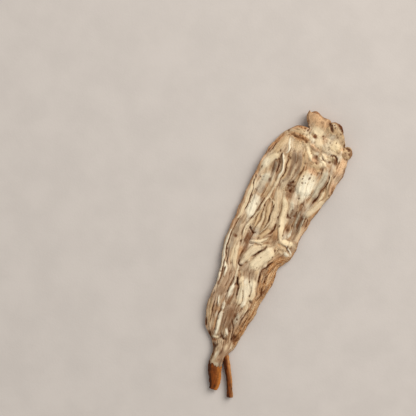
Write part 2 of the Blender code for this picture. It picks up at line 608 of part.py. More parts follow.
def build_root_slice():
    """The whole slice as one solid."""
    parts = bpy.data.collections.new("angelica_root")
    bpy.context.scene.collection.children.link(parts)
    joined = bpy.data.collections.new("grown_on")
    bpy.context.scene.collection.children.link(joined)
    slice_obj = build_slab(parts)
    build_knob("tan_knob", TAN_KNOB, joined)
    raise_ring(build_knob("ring_knob", RING_KNOB, joined))
    build_knob("side_knob", SIDE_KNOB, joined)
    build_rootlet("stub", STUB_PATH, STUB_FLATNESS, joined)
    build_rootlet("thin_rootlet", THIN_PATH, THIN_FLATNESS, joined)
    join_to(slice_obj, joined)
    clean_joint(slice_obj)
    thin_out(slice_obj, KEPT_TRIANGLES)
    settle(slice_obj)
    slice_obj.name = "root_slice"
    slice_obj.data.name = "root_slice"
    slice_obj.data.materials.clear()
    slice_obj.data.materials.append(root_material())
    return slice_obj


clear_scene()
build_root_slice()
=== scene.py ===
"""The dressed look of a dried, pressed slice of angelica root, lying with its cut face up.

The slice is a closed surface worked out with numpy: its outline and warp are those of the CAD solid, and
its cut face carries every named strand, furrow, stain and pit, with finer strands between them. Three
knobs of the crown and two brown rootlets complete it. All sizes are in millimetres until a mesh is
written, and +Y points to the crown.
"""

import functools
import itertools
import logging
import math
from collections.abc import Sequence
from dataclasses import dataclass
from enum import Enum
from typing import Any

import bpy
import numpy as np
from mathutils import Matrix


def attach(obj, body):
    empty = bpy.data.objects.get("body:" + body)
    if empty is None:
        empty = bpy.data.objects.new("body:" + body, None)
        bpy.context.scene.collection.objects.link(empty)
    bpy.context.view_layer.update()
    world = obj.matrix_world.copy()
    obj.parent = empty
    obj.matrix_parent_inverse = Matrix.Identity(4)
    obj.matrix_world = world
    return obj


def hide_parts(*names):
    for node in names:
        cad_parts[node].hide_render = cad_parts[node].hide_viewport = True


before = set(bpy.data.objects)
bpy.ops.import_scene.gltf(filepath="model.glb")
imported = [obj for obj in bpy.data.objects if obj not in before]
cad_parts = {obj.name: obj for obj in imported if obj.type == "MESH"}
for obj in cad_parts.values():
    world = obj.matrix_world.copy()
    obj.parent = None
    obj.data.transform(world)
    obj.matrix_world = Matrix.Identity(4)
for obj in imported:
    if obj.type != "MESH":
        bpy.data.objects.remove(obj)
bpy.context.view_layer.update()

LOG = logging.getLogger("angelica_root")
Array = np.ndarray
Points = Sequence[float]
MM = 0.001
NODE = "root_slice"
BODY = "root"
SPECULAR = 0.15

# The photograph's frame, and where its middle falls on the slice's own axes
PHOTO_PIXELS = 416
MM_PER_PIXEL = 0.5
PHOTO_MIDDLE = (-33.9, 7.3)
PHOTO_TURN = 25.48
CAMERA_HEIGHT = 460.0
SENSOR_WIDTH = 36.0
CLIP_RANGE = (0.01, 20.0)


class Tone(Enum):
    """Colours of dried angelica root, as red, green and blue from 0 to 255."""

    WHITE = (250, 238, 210)
    CREAM = (244, 222, 182)
    PALE = (230, 206, 168)
    BEIGE = (216, 184, 140)
    TAN = (203, 158, 113)
    PEACH = (224, 178, 136)
    OLIVE = (218, 190, 142)
    ASH = (206, 193, 166)
    DUN = (188, 156, 124)
    FAWN = (210, 170, 128)
    GREY = (170, 143, 115)
    SMOKE = (112, 88, 66)
    BARK = (190, 134, 80)
    ORANGE = (134, 68, 18)
    AMBER = (188, 116, 50)
    SIENNA = (98, 50, 16)
    BROWN = (124, 80, 46)
    UMBER = (78, 46, 26)
    DARK = (56, 27, 12)

    @property
    def linear(self) -> Array:
        """The tone as linear light, three numbers from 0 to 1."""
        part = np.array(self.value) / 255.0
        return np.where(part <= 0.04045, part / 12.92, ((part + 0.055) / 1.055) ** 2.4)

    @property
    def rgba(self) -> tuple[float, float, float, float]:
        """The tone as linear light with full alpha."""
        red, green, blue = (float(one) for one in self.linear)
        return (red, green, blue, 1.0)


(WHITE, CREAM, PALE, BEIGE, TAN, PEACH, OLIVE, ASH, DUN, FAWN, GREY, SMOKE, BARK, ORANGE, AMBER, SIENNA,
 BROWN, UMBER, DARK) = Tone


@dataclass(frozen=True)
class Strand:
    """A raised strand: its tone, half its width, the height of its crest, and its path as x and y in turn."""

    tone: Tone
    half_width: float
    crest: float
    path: Points


@dataclass(frozen=True)
class Crevice:
    """A dark groove: half its width, its depth, how dark it is from 0 to 1, and its path. Its darkness is
    brown colour with painted shade in the groove.
    """

    half_width: float
    depth: float
    shade: float
    path: Points


@dataclass(frozen=True)
class Pit:
    """A small dark pit: its centre, radius and depth."""

    x: float
    y: float
    radius: float
    depth: float


@dataclass(frozen=True)
class Stain:
    """A soft patch of colour: its tone and strength, its centre, its two radii and its turn in degrees."""

    tone: Tone
    strength: float
    x: float
    y: float
    x_radius: float
    y_radius: float
    turn: float = 0.0


@dataclass(frozen=True)
class Wave:
    """A slow wave: its height, its rates in radians per millimetre along x and y, and its phase."""

    height: float
    x_rate: float
    y_rate: float
    phase: float


@dataclass(frozen=True)
class Bell:
    """A soft hill: its height, its centre and its two radii."""

    height: float
    x: float
    y: float
    x_radius: float
    y_radius: float

    def at(self, x: Array, y: Array) -> Array:
        """Its height at each place, a bell curve of the distance in radii."""
        east, north = (x - self.x) / self.x_radius, (y - self.y) / self.y_radius
        return self.height * np.exp(-east ** 2 - north ** 2)


@dataclass(frozen=True)
class Mottle:
    """Patches of a tone: their strength, their size and shift along x and y, and where the noise turns."""

    tone: Tone
    strength: float
    size: tuple[float, float]
    shift: tuple[float, float]
    span: tuple[float, float]

    def over(self, tint: Array, x: Array, y: Array) -> Array:
        """The colours with the patches blended over them: a smooth step of layered noise over the span."""
        hills = GRAIN.layered(x / self.size[0] + self.shift[0], y / self.size[1] + self.shift[1])
        return blend(tint, self.tone.linear, self.strength * smooth_step(hills, *self.span))


def smooth_step(value: Array, start: float, end: float) -> Array:
    """0 before start, 1 after end, with a smooth rise between them.

    Args:
        value: Where to evaluate the step.
        start: The value where the rise starts.
        end: The value where it ends; smaller than start for a fall.

    Returns:
        t squared times (3 - 2 t), with t the clipped fraction of the way.
    """
    t = np.clip((value - start) / (end - start), 0.0, 1.0)
    return t * t * (3.0 - 2.0 * t)


def smooth_path(points: Points, steps: int = 8, columns: int = 2) -> Array:
    """Catmull-Rom curve through the points.

    Args:
        points: The coordinates of the places that the curve passes, one place after another.
        steps: Samples between two neighbouring places.
        columns: Coordinates of each place.

    Returns:
        An array with one sample a row, the first and the last place included.
    """
    given = np.array(points, dtype=float).reshape(-1, columns)
    padded = np.vstack([2.0 * given[0] - given[1], given, 2.0 * given[-1] - given[-2]])
    t = np.linspace(0.0, 1.0, steps, endpoint=False)[:, None]
    spans = [0.5 * (2.0 * b + (c - a) * t + (2.0 * a - 5.0 * b + 4.0 * c - d) * t ** 2
                    + (3.0 * b - a - 3.0 * c + d) * t ** 3)
             for a, b, c, d in zip(padded[:-3], padded[1:-2], padded[2:-1], padded[3:])]
    return np.vstack(spans + [given[-1:]])


def ripple(x: Array, y: Array, waves: tuple[Wave, ...]) -> Array:
    """Sum of the waves at each place: height times the sine of the rates times x and y plus the phase."""
    return sum(one.height * np.sin(one.x_rate * x + one.y_rate * y + one.phase) for one in waves)


def rounded_stripes(phase: Array) -> Array:
    """Side by side half-round ribs, one a whole step of the phase: the root of 1 less the offset squared."""
    across = 2.0 * (phase - np.floor(phase)) - 1.0
    return np.sqrt(np.clip(1.0 - across ** 2, 0.0, 1.0))


def blend(below: Array, above: Array, weight: Array) -> Array:
    """Colours below and above mixed by a weight for each place."""
    return below + (above - below) * weight[..., None]


def joined(*parts: Array) -> Array:
    """The parts side by side as the last axis, three numbers for each place."""
    return np.stack(np.broadcast_arrays(*parts), axis=-1)


def add_object(name: str, data: Any) -> bpy.types.Object:
    """A new object of the data, linked to the scene.

    Args:
        name: The object's name.
        data: Its mesh, light or camera.

    Returns:
        The object.
    """
    obj = bpy.data.objects.new(name, data)
    bpy.context.scene.collection.objects.link(obj)
    return obj


class Grain:
    """Smooth random hills from a seeded table of numbers."""

    PRIMES = (73856093, 19349663, 83492791)
    TABLE_SIZE = 4096

    def __init__(self, seed: int) -> None:
        """Fill the table from the seed."""
        self._table = np.random.default_rng(seed).random(self.TABLE_SIZE)

    def at(self, *axes: Array) -> Array:
        """Value noise: the table's numbers at the corners of each lattice cell, blended by smooth steps.

        Args:
            axes: One to three coordinates, in lattice cells.

        Returns:
            Numbers from 0 to 1.
        """
        axes = np.broadcast_arrays(*axes)
        whole = [np.floor(axis).astype(np.int64) for axis in axes]
        eased = [smooth_step(axis - base, 0.0, 1.0) for axis, base in zip(axes, whole)]
        total = np.zeros(axes[0].shape)
        for corner in itertools.product((0, 1), repeat=len(axes)):
            key = np.zeros(total.shape, dtype=np.int64)
            weight = np.ones(total.shape)
            for step, base, ease, prime in zip(corner, whole, eased, self.PRIMES):
                key = key ^ ((base + step) * prime)
                weight = weight * (ease if step else 1.0 - ease)
            total += weight * self._table[key & (self.TABLE_SIZE - 1)]
        return total

    def layered(self, *axes: Array, octaves: int = 3) -> Array:
        """Layers of at(), each twice as fine and half as strong as the one before.

        Args:
            axes: One to three coordinates, in cells of the coarsest layer.
            octaves: How many layers.

        Returns:
            Their sum, scaled back to 0 to 1.
        """
        total = sum(self.at(*(axis * 2.0 ** octave for axis in axes)) * 0.5 ** octave
                    for octave in range(octaves))
        return total / (2.0 - 0.5 ** (octaves - 1))


GRAIN = Grain(seed=11)

STRANDS = tuple(Strand(tone, half_width, crest, path) for tone, half_width, crest, *path in (
    # rolled left rim and shoulder
    (PEACH, 0.9, 0.9, -16.2, 57, -18, 52, -19.3, 47, -19.8, 42, -19.8, 37),
    (PEACH, 0.8, 0.9, -19.8, 35, -19.9, 29, -19.6, 22, -19.1, 15, -19, 9, -19.1, 3, -18.6, -3),
    (WHITE, 0.55, 1.3, -18.9, 4.5, -19, 0.5, -18.6, -3.6, -17.6, -8.2, -16.2, -12.8, -15.1, -17.2, -14.3,
     -22, -13.5, -27),
    (PEACH, 0.8, 0.8, -15, 57.6, -16.6, 53, -18, 48, -18.9, 43.5),
    (PALE, 1.1, 0.9, -18.4, 31, -18, 26, -18.3, 20, -18.1, 14, -18.2, 8),
    (CREAM, 0.45, 1.1, -19.4, 33, -19.2, 27, -19, 20, -18.7, 14, -18.6, 7.5),
    (BEIGE, 1.8, 1.1, -13.2, 57, -14, 53, -15.2, 48.8, -15.8, 45.4),
    (CREAM, 2.3, 1.3, -13.4, 47.2, -15.6, 43.8, -17.6, 40.4, -18.2, 36.6),
    # lumps and folds of the crown
    (PEACH, 1.4, 1, -13.4, 60.8, -11, 63, -8.6, 64.2, -6.4, 64.6),
    (BEIGE, 2.4, 1.2, -12, 61.6, -8.6, 61.8, -5.4, 62.2),
    (TAN, 0.9, 0.8, -13.4, 59.2, -10.4, 59.3, -7.4, 59.6, -3.4, 59.2),
    (CREAM, 2.3, 1.1, -3.4, 66.4, -0.6, 65.2, 2.4, 64.8), (PALE, 2, 0.9, 0.2, 62.6, 1.6, 60.4, 3.2, 58.6),
    (OLIVE, 3, 1.2, 7, 62.8, 9.8, 62.4, 12.8, 61.2), (PALE, 2, 0.9, 5.2, 60.4, 7.2, 58.8, 9.4, 58.4),
    (PEACH, 2.6, 1.2, 17.2, 60.6, 17.9, 57, 17.6, 53, 17, 49),
    (PEACH, 1.2, 0.9, -1.4, 58, 1.2, 57, 3.6, 56.6),
    (CREAM, 0.6, 0.8, 5.7, 56, 7, 55.3, 8.4, 54.7, 9.4, 54.8),
    (PALE, 0.45, 0.8, 6.5, 54.7, 7.8, 54.1, 9.3, 53.9),
    (CREAM, 0.6, 0.8, 5.3, 53.6, 6.8, 52.8, 8.5, 52.4, 9.6, 51.4),
    (OLIVE, 1.5, 1.1, 11, 56.4, 12.4, 56.2, 13.4, 55), (BEIGE, 0.8, 0.9, 14.8, 55.6, 15, 52.6, 14.8, 50),
    (CREAM, 1.4, 1, 6, 51.6, 8, 50.8, 10.4, 51.6), (PEACH, 1.1, 0.9, 0.6, 52.4, 2.4, 51.2, 4.4, 51.8),
    # long strands of the left half
    (WHITE, 0.6, 1, -12, 57.2, -10.9, 53.6, -10.3, 50.6, -10.8, 48.2),
    (BEIGE, 2.4, 1, -8.4, 57, -6.8, 54.4, -5.6, 51.6),
    (SMOKE, 1.6, 0.6, -13.6, 43.6, -12.8, 40.6, -12.4, 37.4),
    (WHITE, 0.7, 1.6, -11.7, 48.6, -9.9, 44.6, -8.6, 41.6, -8.4, 38.8, -8.7, 34.6),
    (PALE, 0.7, 1.3, -8.5, 37.6, -8.8, 33.6, -9, 29.6, -9.4, 25, -10.3, 19.6, -10.8, 14.8, -12, 10.2, -12.7,
     6.2, -12.1, 2),
    (PALE, 0.45, 1, -10.2, 47.6, -8.9, 44, -7.9, 41),
    (BEIGE, 1, 0.9, -9.4, 51.5, -7.8, 47.5, -6.7, 43, -6.4, 38.5, -6.6, 34.5),
    (GREY, 1.4, 1.1, -7, 52, -5.4, 48, -4.6, 43.5, -4.8, 39, -5.2, 35.5),
    (PALE, 1.1, 1.1, -3.6, 46.6, -3.2, 43.4, -3.6, 40, -4.2, 37.6),
    (GREY, 1.3, 1, -4.2, 52.8, -2.8, 49, -1.7, 44.5, -1.6, 40.5),
    (BEIGE, 0.8, 0.9, -2.4, 53.5, -1, 50, -0.6, 46, -0.6, 41),
    (CREAM, 1.2, 1.2, -3.2, 57, -1.4, 54.6, 0.8, 52.2, 3.2, 50.2), (ASH, 2.6, 1.2, -14.6, 36, -14.6, 31.6),
    (GREY, 2.4, 1, -14.4, 31, -14.3, 27.6, -14.2, 25),
    (WHITE, 2.4, 1.3, -14.4, 24.4, -14.4, 19, -13.8, 14.6, -13.4, 11.4),
    (BEIGE, 0.9, 0.8, -11, 35, -10.8, 29, -11.2, 23),
    # broad tongue below the crown, and what lies beside it
    (CREAM, 4.6, 1.7, 4.6, 46.5, 4.9, 42, 5.2, 37, 6.2, 32.6),
    (BEIGE, 2.2, 1.1, 2.8, 49.4, 5.4, 48.2, 8, 49.6),
    (ASH, 1.6, 1.1, 10.6, 50, 12, 46.5, 11.8, 42, 11.4, 37.6, 10.8, 33.6),
    (PALE, 0.6, 1.1, 13.2, 49.3, 14.6, 47.8, 15.1, 44, 15.6, 40.2),
    (PALE, 1, 0.9, 14.6, 40, 14.6, 36.6, 14, 33.4), (PEACH, 1.2, 0.9, 17.2, 47.6, 17.6, 43, 17.8, 38.6),
    (PEACH, 1.1, 0.9, 19, 47, 18.8, 42.4), (PALE, 1.9, 1.3, 17.4, 36, 15.8, 31.6, 13.6, 27.6, 11.4, 24.8),
    (TAN, 0.9, 1, 17, 32, 15.6, 28, 14.8, 24.4), (TAN, 1.3, 1, 14.4, 24, 14.3, 20.6, 13.6, 16.5, 13, 12.5),
    # strands of the middle
    (PALE, 2, 1.2, -6.4, 31.6, -5.2, 28.6, -3.8, 24.5, -2.4, 20, -1.8, 15.5, -2.4, 11),
    (CREAM, 1.6, 1.6, -1.8, 28.6, -0.2, 26, 1, 22.8, 2.2, 18.4, 3.2, 14.6, 4.4, 11.2, 6, 8.2),
    (ASH, 1.4, 1.1, 2.6, 28.8, 3.6, 26, 4.2, 23.4), (GREY, 1.5, 1, 5, 28.6, 5.8, 25, 6.2, 20.5, 6.8, 16.5),
    (BROWN, 1.4, 0.9, 8.2, 28, 8.6, 24.5, 9.4, 20, 9.8, 16.5), (ASH, 0.6, 1.2, 8.4, 25, 8.7, 21, 9.1, 17.2),
    (SMOKE, 1.3, 0.9, 11.2, 26, 11.4, 22, 11.2, 17, 11.2, 13.5),
    (ASH, 0.45, 1.2, 11.5, 24, 11.8, 20.6, 11.9, 17.6),
    (PALE, 0.7, 1.1, 12.5, 18.6, 12.9, 16.6, 12.8, 14.6),
    (WHITE, 0.75, 1.2, 8.3, 15.6, 8.5, 13.2, 8.6, 10.8),
    (PEACH, 1.4, 0.9, 13.6, 17, 13.6, 13.6, 13.2, 10.6), (CREAM, 2.2, 1.2, 6, 8.8, 9.4, 8.4, 12.4, 8.8),
    (WHITE, 0.5, 1.2, 7.6, 6.8, 10.4, 6.2, 13, 4.9, 14, 3.6),
    (WHITE, 1.1, 1.2, 9.8, 3.6, 11.4, 3.2, 13, 2.6),
    # the fold shaped like a leaf
    (PALE, 0.6, 1.3, -8, 25.6, -6, 24.4, -4.6, 22, -3.9, 18, -3, 14.6, -3.7, 11, -5.4, 7.6),
    (BEIGE, 1, 1.2, -7.2, 22.4, -6, 18.5, -5.2, 14.5, -5.4, 10.5, -6.4, 7.8),
    (PALE, 1.1, 1.4, -8.2, 19, -7.2, 15.6, -6.9, 12, -7.6, 8.2),
    (BEIGE, 0.9, 1.2, -9.4, 18.6, -9.4, 15, -9.2, 11.6, -8.8, 8.4),
    (BEIGE, 1.5, 1, -1.4, 12, -2.4, 8.8, -4.2, 6, -6.4, 4.8), (TAN, 2.2, 0.9, 1.8, 13, 2.8, 9, 2, 5.8),
    (CREAM, 0.7, 1.2, 0, 7, -1.8, 5.2, -4, 3.9, -6.6, 3.2),
    (CREAM, 0.6, 1.1, -1.2, 3.4, -2.6, 2.6, -4.6, 2.4, -7, 1.8),
    (BROWN, 1.5, 0.6, -10.2, 5.6, -9.9, 2.6, -9.8, -0.6),
    # slanting bars of the waist
    (PALE, 2.4, 1.5, -1.8, 1.2, -3.8, -1.6, -5.6, -4.4, -6.8, -7.4, -7.2, -9.2),
    (CREAM, 2.9, 1.7, 4.6, 3.2, 2.6, -1, 0.8, -5, -0.8, -8.6, -1.8, -11.6),
    (BEIGE, 1.6, 1, 2.2, -8.6, 1.4, -12, 2, -15.5), (DUN, 1.4, 1, -3.6, -8.6, -4.6, -11.2, -5.2, -14.6),
    # long strands of the lower half
    (PALE, 1.3, 1, -14.4, 8.6, -14.6, 3, -14.2, -2, -13, -7.5, -11.2, -12.5),
    (GREY, 1.2, 0.9, -16.2, 11, -16.4, 5, -16.2, -0.5, -15.4, -6.5, -14.2, -11.5),
    (PALE, 1.2, 1.1, -12.4, -2, -11.8, -6.6, -10.4, -11, -8.6, -14.4),
    (TAN, 1, 0.9, -10.2, -1.5, -10.1, -5, -9.6, -8.5),
    (WHITE, 0.8, 1.1, -15, -12.6, -12.8, -16.8, -12, -20.4),
    (DUN, 1.5, 0.8, -11.2, -14, -10.4, -20, -10.8, -26, -11.4, -31, -10.6, -37),
    (DUN, 1.2, 0.8, -8.6, -16, -8.8, -21.5, -8.6, -26.5, -8, -31),
    (WHITE, 1.1, 1.3, -5.9, -20, -5.9, -24, -5.6, -28.8),
    (WHITE, 0.6, 1.2, -10.5, -28.8, -9.5, -31.4, -8.5, -34.2),
    (WHITE, 0.6, 1.2, -6.5, -30.6, -6, -34, -5.6, -36),
    (WHITE, 1.1, 1.4, -5.5, -35.6, -4.5, -41, -3.6, -45, -3.3, -48.2),
    (CREAM, 1.5, 1.2, -4.2, -15.8, -2.8, -19, -1.2, -23, -0.4, -27, -0.6, -30.6),
    (WHITE, 1.6, 1.2, -2, -15.4, -0.2, -19, 1.4, -23, 2.2, -27, 1.8, -30.8),
    (CREAM, 1.7, 1.2, 0.8, -14.5, 2.6, -17.5, 4, -21, 4.6, -24.6, 4.6, -28),
    (PALE, 1.1, 1, 3.2, -27, 4.6, -29.6, 4.8, -32.6),
    (DUN, 1.6, 0.9, -3.4, -30, -3, -34.5, -1.8, -39.5, -1, -43.5),
    (DUN, 1.5, 0.9, -0.8, -32.5, -0.2, -37, 0.2, -41), (ASH, 1.3, 1.1, 2.6, -33.8, 2.8, -36.4, 2.8, -39),
    (WHITE, 0.55, 1.2, 0.2, -42.2, 1, -44.4, 2, -46.4),
    (TAN, 1, 0.9, -8.2, -34, -7.2, -38.5, -6.2, -43, -5.6, -47),
    (BEIGE, 0.9, 0.9, -13, -31, -11.8, -36, -9.8, -41, -7.6, -45.8),
    # bark along the lower right
    (BARK, 1.6, 1.1, 12, 0.6, 9.6, -1.6, 7.8, -4.5, 6.6, -8, 6.2, -11.5),
    (BARK, 1.5, 1.2, 9.4, -4.6, 9, -9, 9.2, -14, 9.2, -19, 8.8, -24, 8.6, -30, 8, -37, 7.6, -44, 7.2, -50),
    (TAN, 1, 1, 4.4, -10, 5.4, -14.5, 6.9, -19, 7, -24, 6.8, -30, 6.2, -36, 5.8, -42, 6, -48),
    (WHITE, 0.45, 1.3, 6.5, -11.8, 6.8, -15.8), (PALE, 0.4, 1.1, 7.2, -20.2, 6.9, -24.4),
    # the tongue at the tail
    (PALE, 2, 1.1, 1, -50, 1.6, -54.5, 2.2, -59, 3.2, -63),
    (DUN, 1.6, 1, 4.2, -50, 4.3, -54.5, 4.6, -59, 4.4, -62.5),
    (CREAM, 0.8, 0.9, -4.6, -49.6, -2.8, -49.2, -1.4, -48.2),
))

CREVICES = tuple(Crevice(half_width, depth, shade, path) for half_width, depth, shade, *path in (
    # the left shoulder, and the dark rim of the tail, where the darkness at the left edge is painted shade
    # with brown colour
    (0.3, 0.3, 0.5, -14.8, 58.4, -16.9, 54, -18.5, 48, -19.3, 43),
    (0.7, 0.4, 0.8, -11, -42.4, -10.5, -44.6, -9.5, -46.8),
    (0.7, 0.5, 0.85, -7.4, -47.4, -6.6, -48.6, -5.6, -50, -4.2, -51.4),
    (0.6, 0.5, 0.85, -2.6, -52.2, -2, -53.2, -1.6, -54.8), (0.4, 0.4, 0.7, -1.7, -49.4, -1.3, -51.2),
    (0.4, 0.5, 0.7, 3.5, -41.4, 3.8, -43.8, 4.6, -46.4, 5.4, -48.4),
    # thin brown lines of the left rim
    (0.3, 0.4, 0.85, -16.2, 54, -17.2, 50.6, -17.8, 47.4, -18.6, 44.8),
    (0.3, 0.4, 0.85, -18.2, 54, -19.2, 50.6, -19.7, 46, -19.8, 42),
    (0.32, 0.5, 0.8, -19.4, 33.4, -18.7, 28.4, -17.6, 24, -17.2, 19, -17.3, 13.6),
    (0.3, 0.5, 0.85, -17.7, 12, -17.9, 6, -18.1, 1, -17.7, -3.4, -16.7, -8, -15.4, -12.2, -14.3, -16.6,
     -13.5, -21),
    (0.3, 0.5, 0.6, -16, -4.6, -15, -9, -13.8, -13.4, -13.2, -25.4),
    # the crown and its knobs
    (0.4, 0.4, 0.2, -14, 58.2, -11.6, 58.6, -9, 58, -6.2, 58.9, -3.2, 58.4),
    (0.35, 0.4, 0.5, -13, 61.4, -10.4, 61.6, -8.6, 62.8), (0.35, 0.5, 0.5, -4.8, 65, -4.2, 62.6, -2.8, 60),
    (0.45, 0.8, 0.85, 10.2, 56.6, 11.8, 58, 13.4, 57.4, 14.5, 55.4, 14.6, 53),
    (0.5, 0.8, 0.9, 9.8, 53.4, 10.8, 53.8, 11.4, 54.9),
    (0.32, 0.5, 0.8, 5.4, 55, 6.3, 54.2, 7.4, 53.5, 8.9, 53.1),
    (0.25, 0.4, 0.5, 5.9, 55.9, 6.6, 56.8, 7.8, 56.6),
    (0.3, 0.5, 0.6, 9.6, 56, 10.3, 57.3, 11.6, 56.4, 12.2, 54.6),
    (0.3, 0.5, 0.6, 5, 52.6, 6.6, 52.9, 8.4, 52.4), (0.7, 0.8, 0.8, 2.6, 54.2, 3.6, 53.4, 4.2, 52),
    (0.35, 0.6, 0.5, 15.2, 57.4, 15.4, 54.4, 15.2, 51),
    (0.6, 0.8, 1, 2.8, 72.4, 3.2, 70.9, 4.4, 69.4, 6.4, 67.7),
    (0.85, 0.8, 1, 6.4, 72.8, 8.2, 72.2, 9.6, 70.9, 10.9, 69.5),
    (0.3, 0.5, 0.8, 4.6, 72, 5.6, 71.3, 6.2, 70.4), (0.3, 0.4, 0.6, 7, 71.4, 8.2, 70.4, 9.2, 69.2),
    (0.25, 0.3, 0.6, 3.6, 72.8, 5.4, 73.3, 7.4, 73.4), (0.5, 0.5, 0.9, 15.8, 63.6, 17, 64.2, 18.4, 63.6),
    (0.35, 0.4, 0.7, 19, 63, 19.4, 61.4), (0.3, 0.3, 0.5, -9, 71.6, -8.4, 69.4, -6.6, 67, -5.2, 65.4),
    (0.3, 0.3, 0.5, -7, 73, -5.4, 73.4, -4, 72.8),
    # the upper half
    (0.55, 0.9, 1, -0.9, 48, 1.4, 48.2), (0.35, 0.6, 0.6, 0.4, 47.6, 0.2, 44, -0.1, 40.4),
    (0.3, 0.6, 0.6, 9, 50.5, 9.2, 48, 9.4, 45),
    (0.35, 0.7, 0.7, 13.8, 48.4, 14.5, 45, 13.8, 39.6, 12.9, 36.6),
    (0.5, 0.9, 0.9, 13, 38, 12.7, 35, 12.2, 31.6),
    (0.4, 0.6, 0.8, -12.7, 45.6, -11.6, 43, -10.8, 40, -10.6, 37),
    (0.25, 0.5, 0.7, -8.7, 47, -7.6, 43.8, -7.1, 40, -7.2, 35.6, -7.5, 30.6),
    (0.3, 0.5, 0.5, -2.6, 53, -1.2, 49.5), (0.3, 0.6, 0.7, -10.5, 24, -11.2, 19.6, -11.6, 15, -12.7, 10.4),
    (0.6, 0.7, 0.8, 3.3, 22.8, 3.8, 20.9, 4.9, 18.8),
    (0.4, 0.6, 0.4, 10.3, 24.6, 10.5, 21.4, 10.3, 18, 10.5, 15),
    (0.35, 0.5, 0.8, 7.4, 25.8, 7, 24.2, 7.1, 22.8, 6, 21.8),
    (0.3, 0.4, 0.5, 6.8, 28, 7.8, 29.2, 9, 28.8, 9.4, 27.6),
    (0.35, 0.4, 0.7, 13, 24.6, 13.8, 22.6, 14.4, 20.2, 14.7, 18), (0.4, 0.6, 0.6, 6.7, 15.6, 6.6, 12.6),
    # round the leaf and between the bars
    (0.3, 0.6, 0.8, -5, 23.6, -4.5, 20.4, -4.3, 17, -4.1, 13.6),
    (0.3, 0.5, 0.6, -9.9, 16.6, -10.1, 13, -9.8, 10.4),
    (0.6, 1.1, 1, -11.3, 9, -9.9, 6.9, -8.2, 6.1, -6.6, 6.9), (0.35, 0.7, 0.8, -8, 6, -8.1, 3.2, -8.2, 1),
    (0.35, 0.7, 0.9, -8.5, 0.8, -6.8, 0.7, -5, 1.4),
    (0.4, 0.7, 0.75, -0.1, 15.8, 0.3, 12, -0.4, 9.4, -1.3, 7.6),
    (0.4, 1.1, 1, 1.4, 2.7, 0, 0.6, -1.6, -1.8, -3, -4, -4.3, -6),
    (0.35, 0.6, 0.5, -4.3, -6, -5.3, -8.2, -5.6, -9.6),
    (0.45, 0.9, 0.9, -9, -8.4, -8.5, -10.8, -7.4, -11.2, -5.8, -10.4),
    (0.35, 0.6, 0.6, -9.2, -3, -9.3, -6, -9, -8.4), (0.3, 0.5, 0.6, -7, -13.6, -6.8, -15.8),
    # the lower half
    (0.4, 0.8, 0.7, 7.4, -2.6, 5.2, -6, 3.8, -9.4, 4, -12.6, 5.2, -16),
    (0.45, 0.9, 1, -6.8, -16.8, -4.9, -19.4, -3.1, -23, -2.2, -26, -1.8, -28.2),
    (0.22, 0.4, 0.6, -1.6, -19.6, 0.2, -23.6, 1.2, -27.2, 0.8, -31),
    (0.22, 0.4, 0.6, 1.6, -17.6, 3, -21.4, 3.4, -25),
    (0.35, 0.6, 0.7, 0, -37.4, 1.6, -39.2, 3, -41.2, 3.6, -43.8),
    (0.4, 0.8, 0.9, -1.3, -45.8, -0.4, -47.6, 1, -48.6, 2.8, -48.4),
    (0.4, 0.6, 0.6, 6, -29, 5.5, -35, 5.1, -40), (0.5, 0.7, 0.9, 3.9, -25.4, 5.4, -26, 6.8, -26.5),
    (0.3, 0.4, 0.6, -7.6, -17, -7.3, -22, -7, -27, -6.7, -31),
    (0.25, 0.4, 0.6, -9.9, -31.5, -9, -35, -8.3, -39),
    (0.3, 0.4, 0.7, -6.7, -35, -6.3, -39, -5.4, -43.6, -5, -47.5),
    (0.25, 0.4, 0.5, -2.6, -36, -1.6, -41, -0.8, -44.6),
    (0.28, 0.4, 0.6, -11.6, -31, -10.8, -35, -9.6, -39.5, -8, -44.5),
    (0.25, 0.3, 0.5, -10, -15.4, -9.6, -20, -9.8, -25), (0.3, 0.3, 0.6, -12.6, -25, -12.8, -29),
    (0.25, 0.3, 0.5, 1.2, -33.4, 1.6, -36, 1.3, -38.6),
    # cracks of the bark
    (0.9, 0.5, 0.8, 5, -43.6, 5.7, -46, 5.3, -48.8), (0.75, 0.5, 0.75, 7.6, -43.4, 7.8, -46.6, 6.8, -49.8),
    (0.5, 0.5, 0.7, 6.6, -42.6, 6.5, -45.8, 6.4, -49), (0.6, 0.4, 0.6, 8, -17, 8.8, -19.6, 8.9, -22.8),
    (0.35, 0.4, 0.5, 9.6, -17.2, 9.6, -20.6), (0.35, 0.4, 0.6, 7.6, -15.6, 8.4, -20, 7.8, -25),
    (0.3, 0.3, 0.5, 10, -8, 10.2, -13.6), (0.3, 0.4, 0.55, 7.6, -30, 7.2, -36, 6.9, -41),
    (0.25, 0.3, 0.5, 8.4, -5, 7.6, -9, 7.6, -13), (0.25, 0.3, 0.45, 9.3, -26, 8.7, -33),
    (0.3, 0.3, 0.5, 11.4, -0.8, 9.6, -3, 8.8, -5.6),
    # furrows of the tongue
    (0.25, 0.3, 0.6, 2.6, -51.5, 2.7, -55, 2.9, -58), (0.25, 0.3, 0.5, 4.9, -57, 5.2, -60.5),
    (0.22, 0.3, 0.4, 0.6, -53, 0.4, -56.5),
))

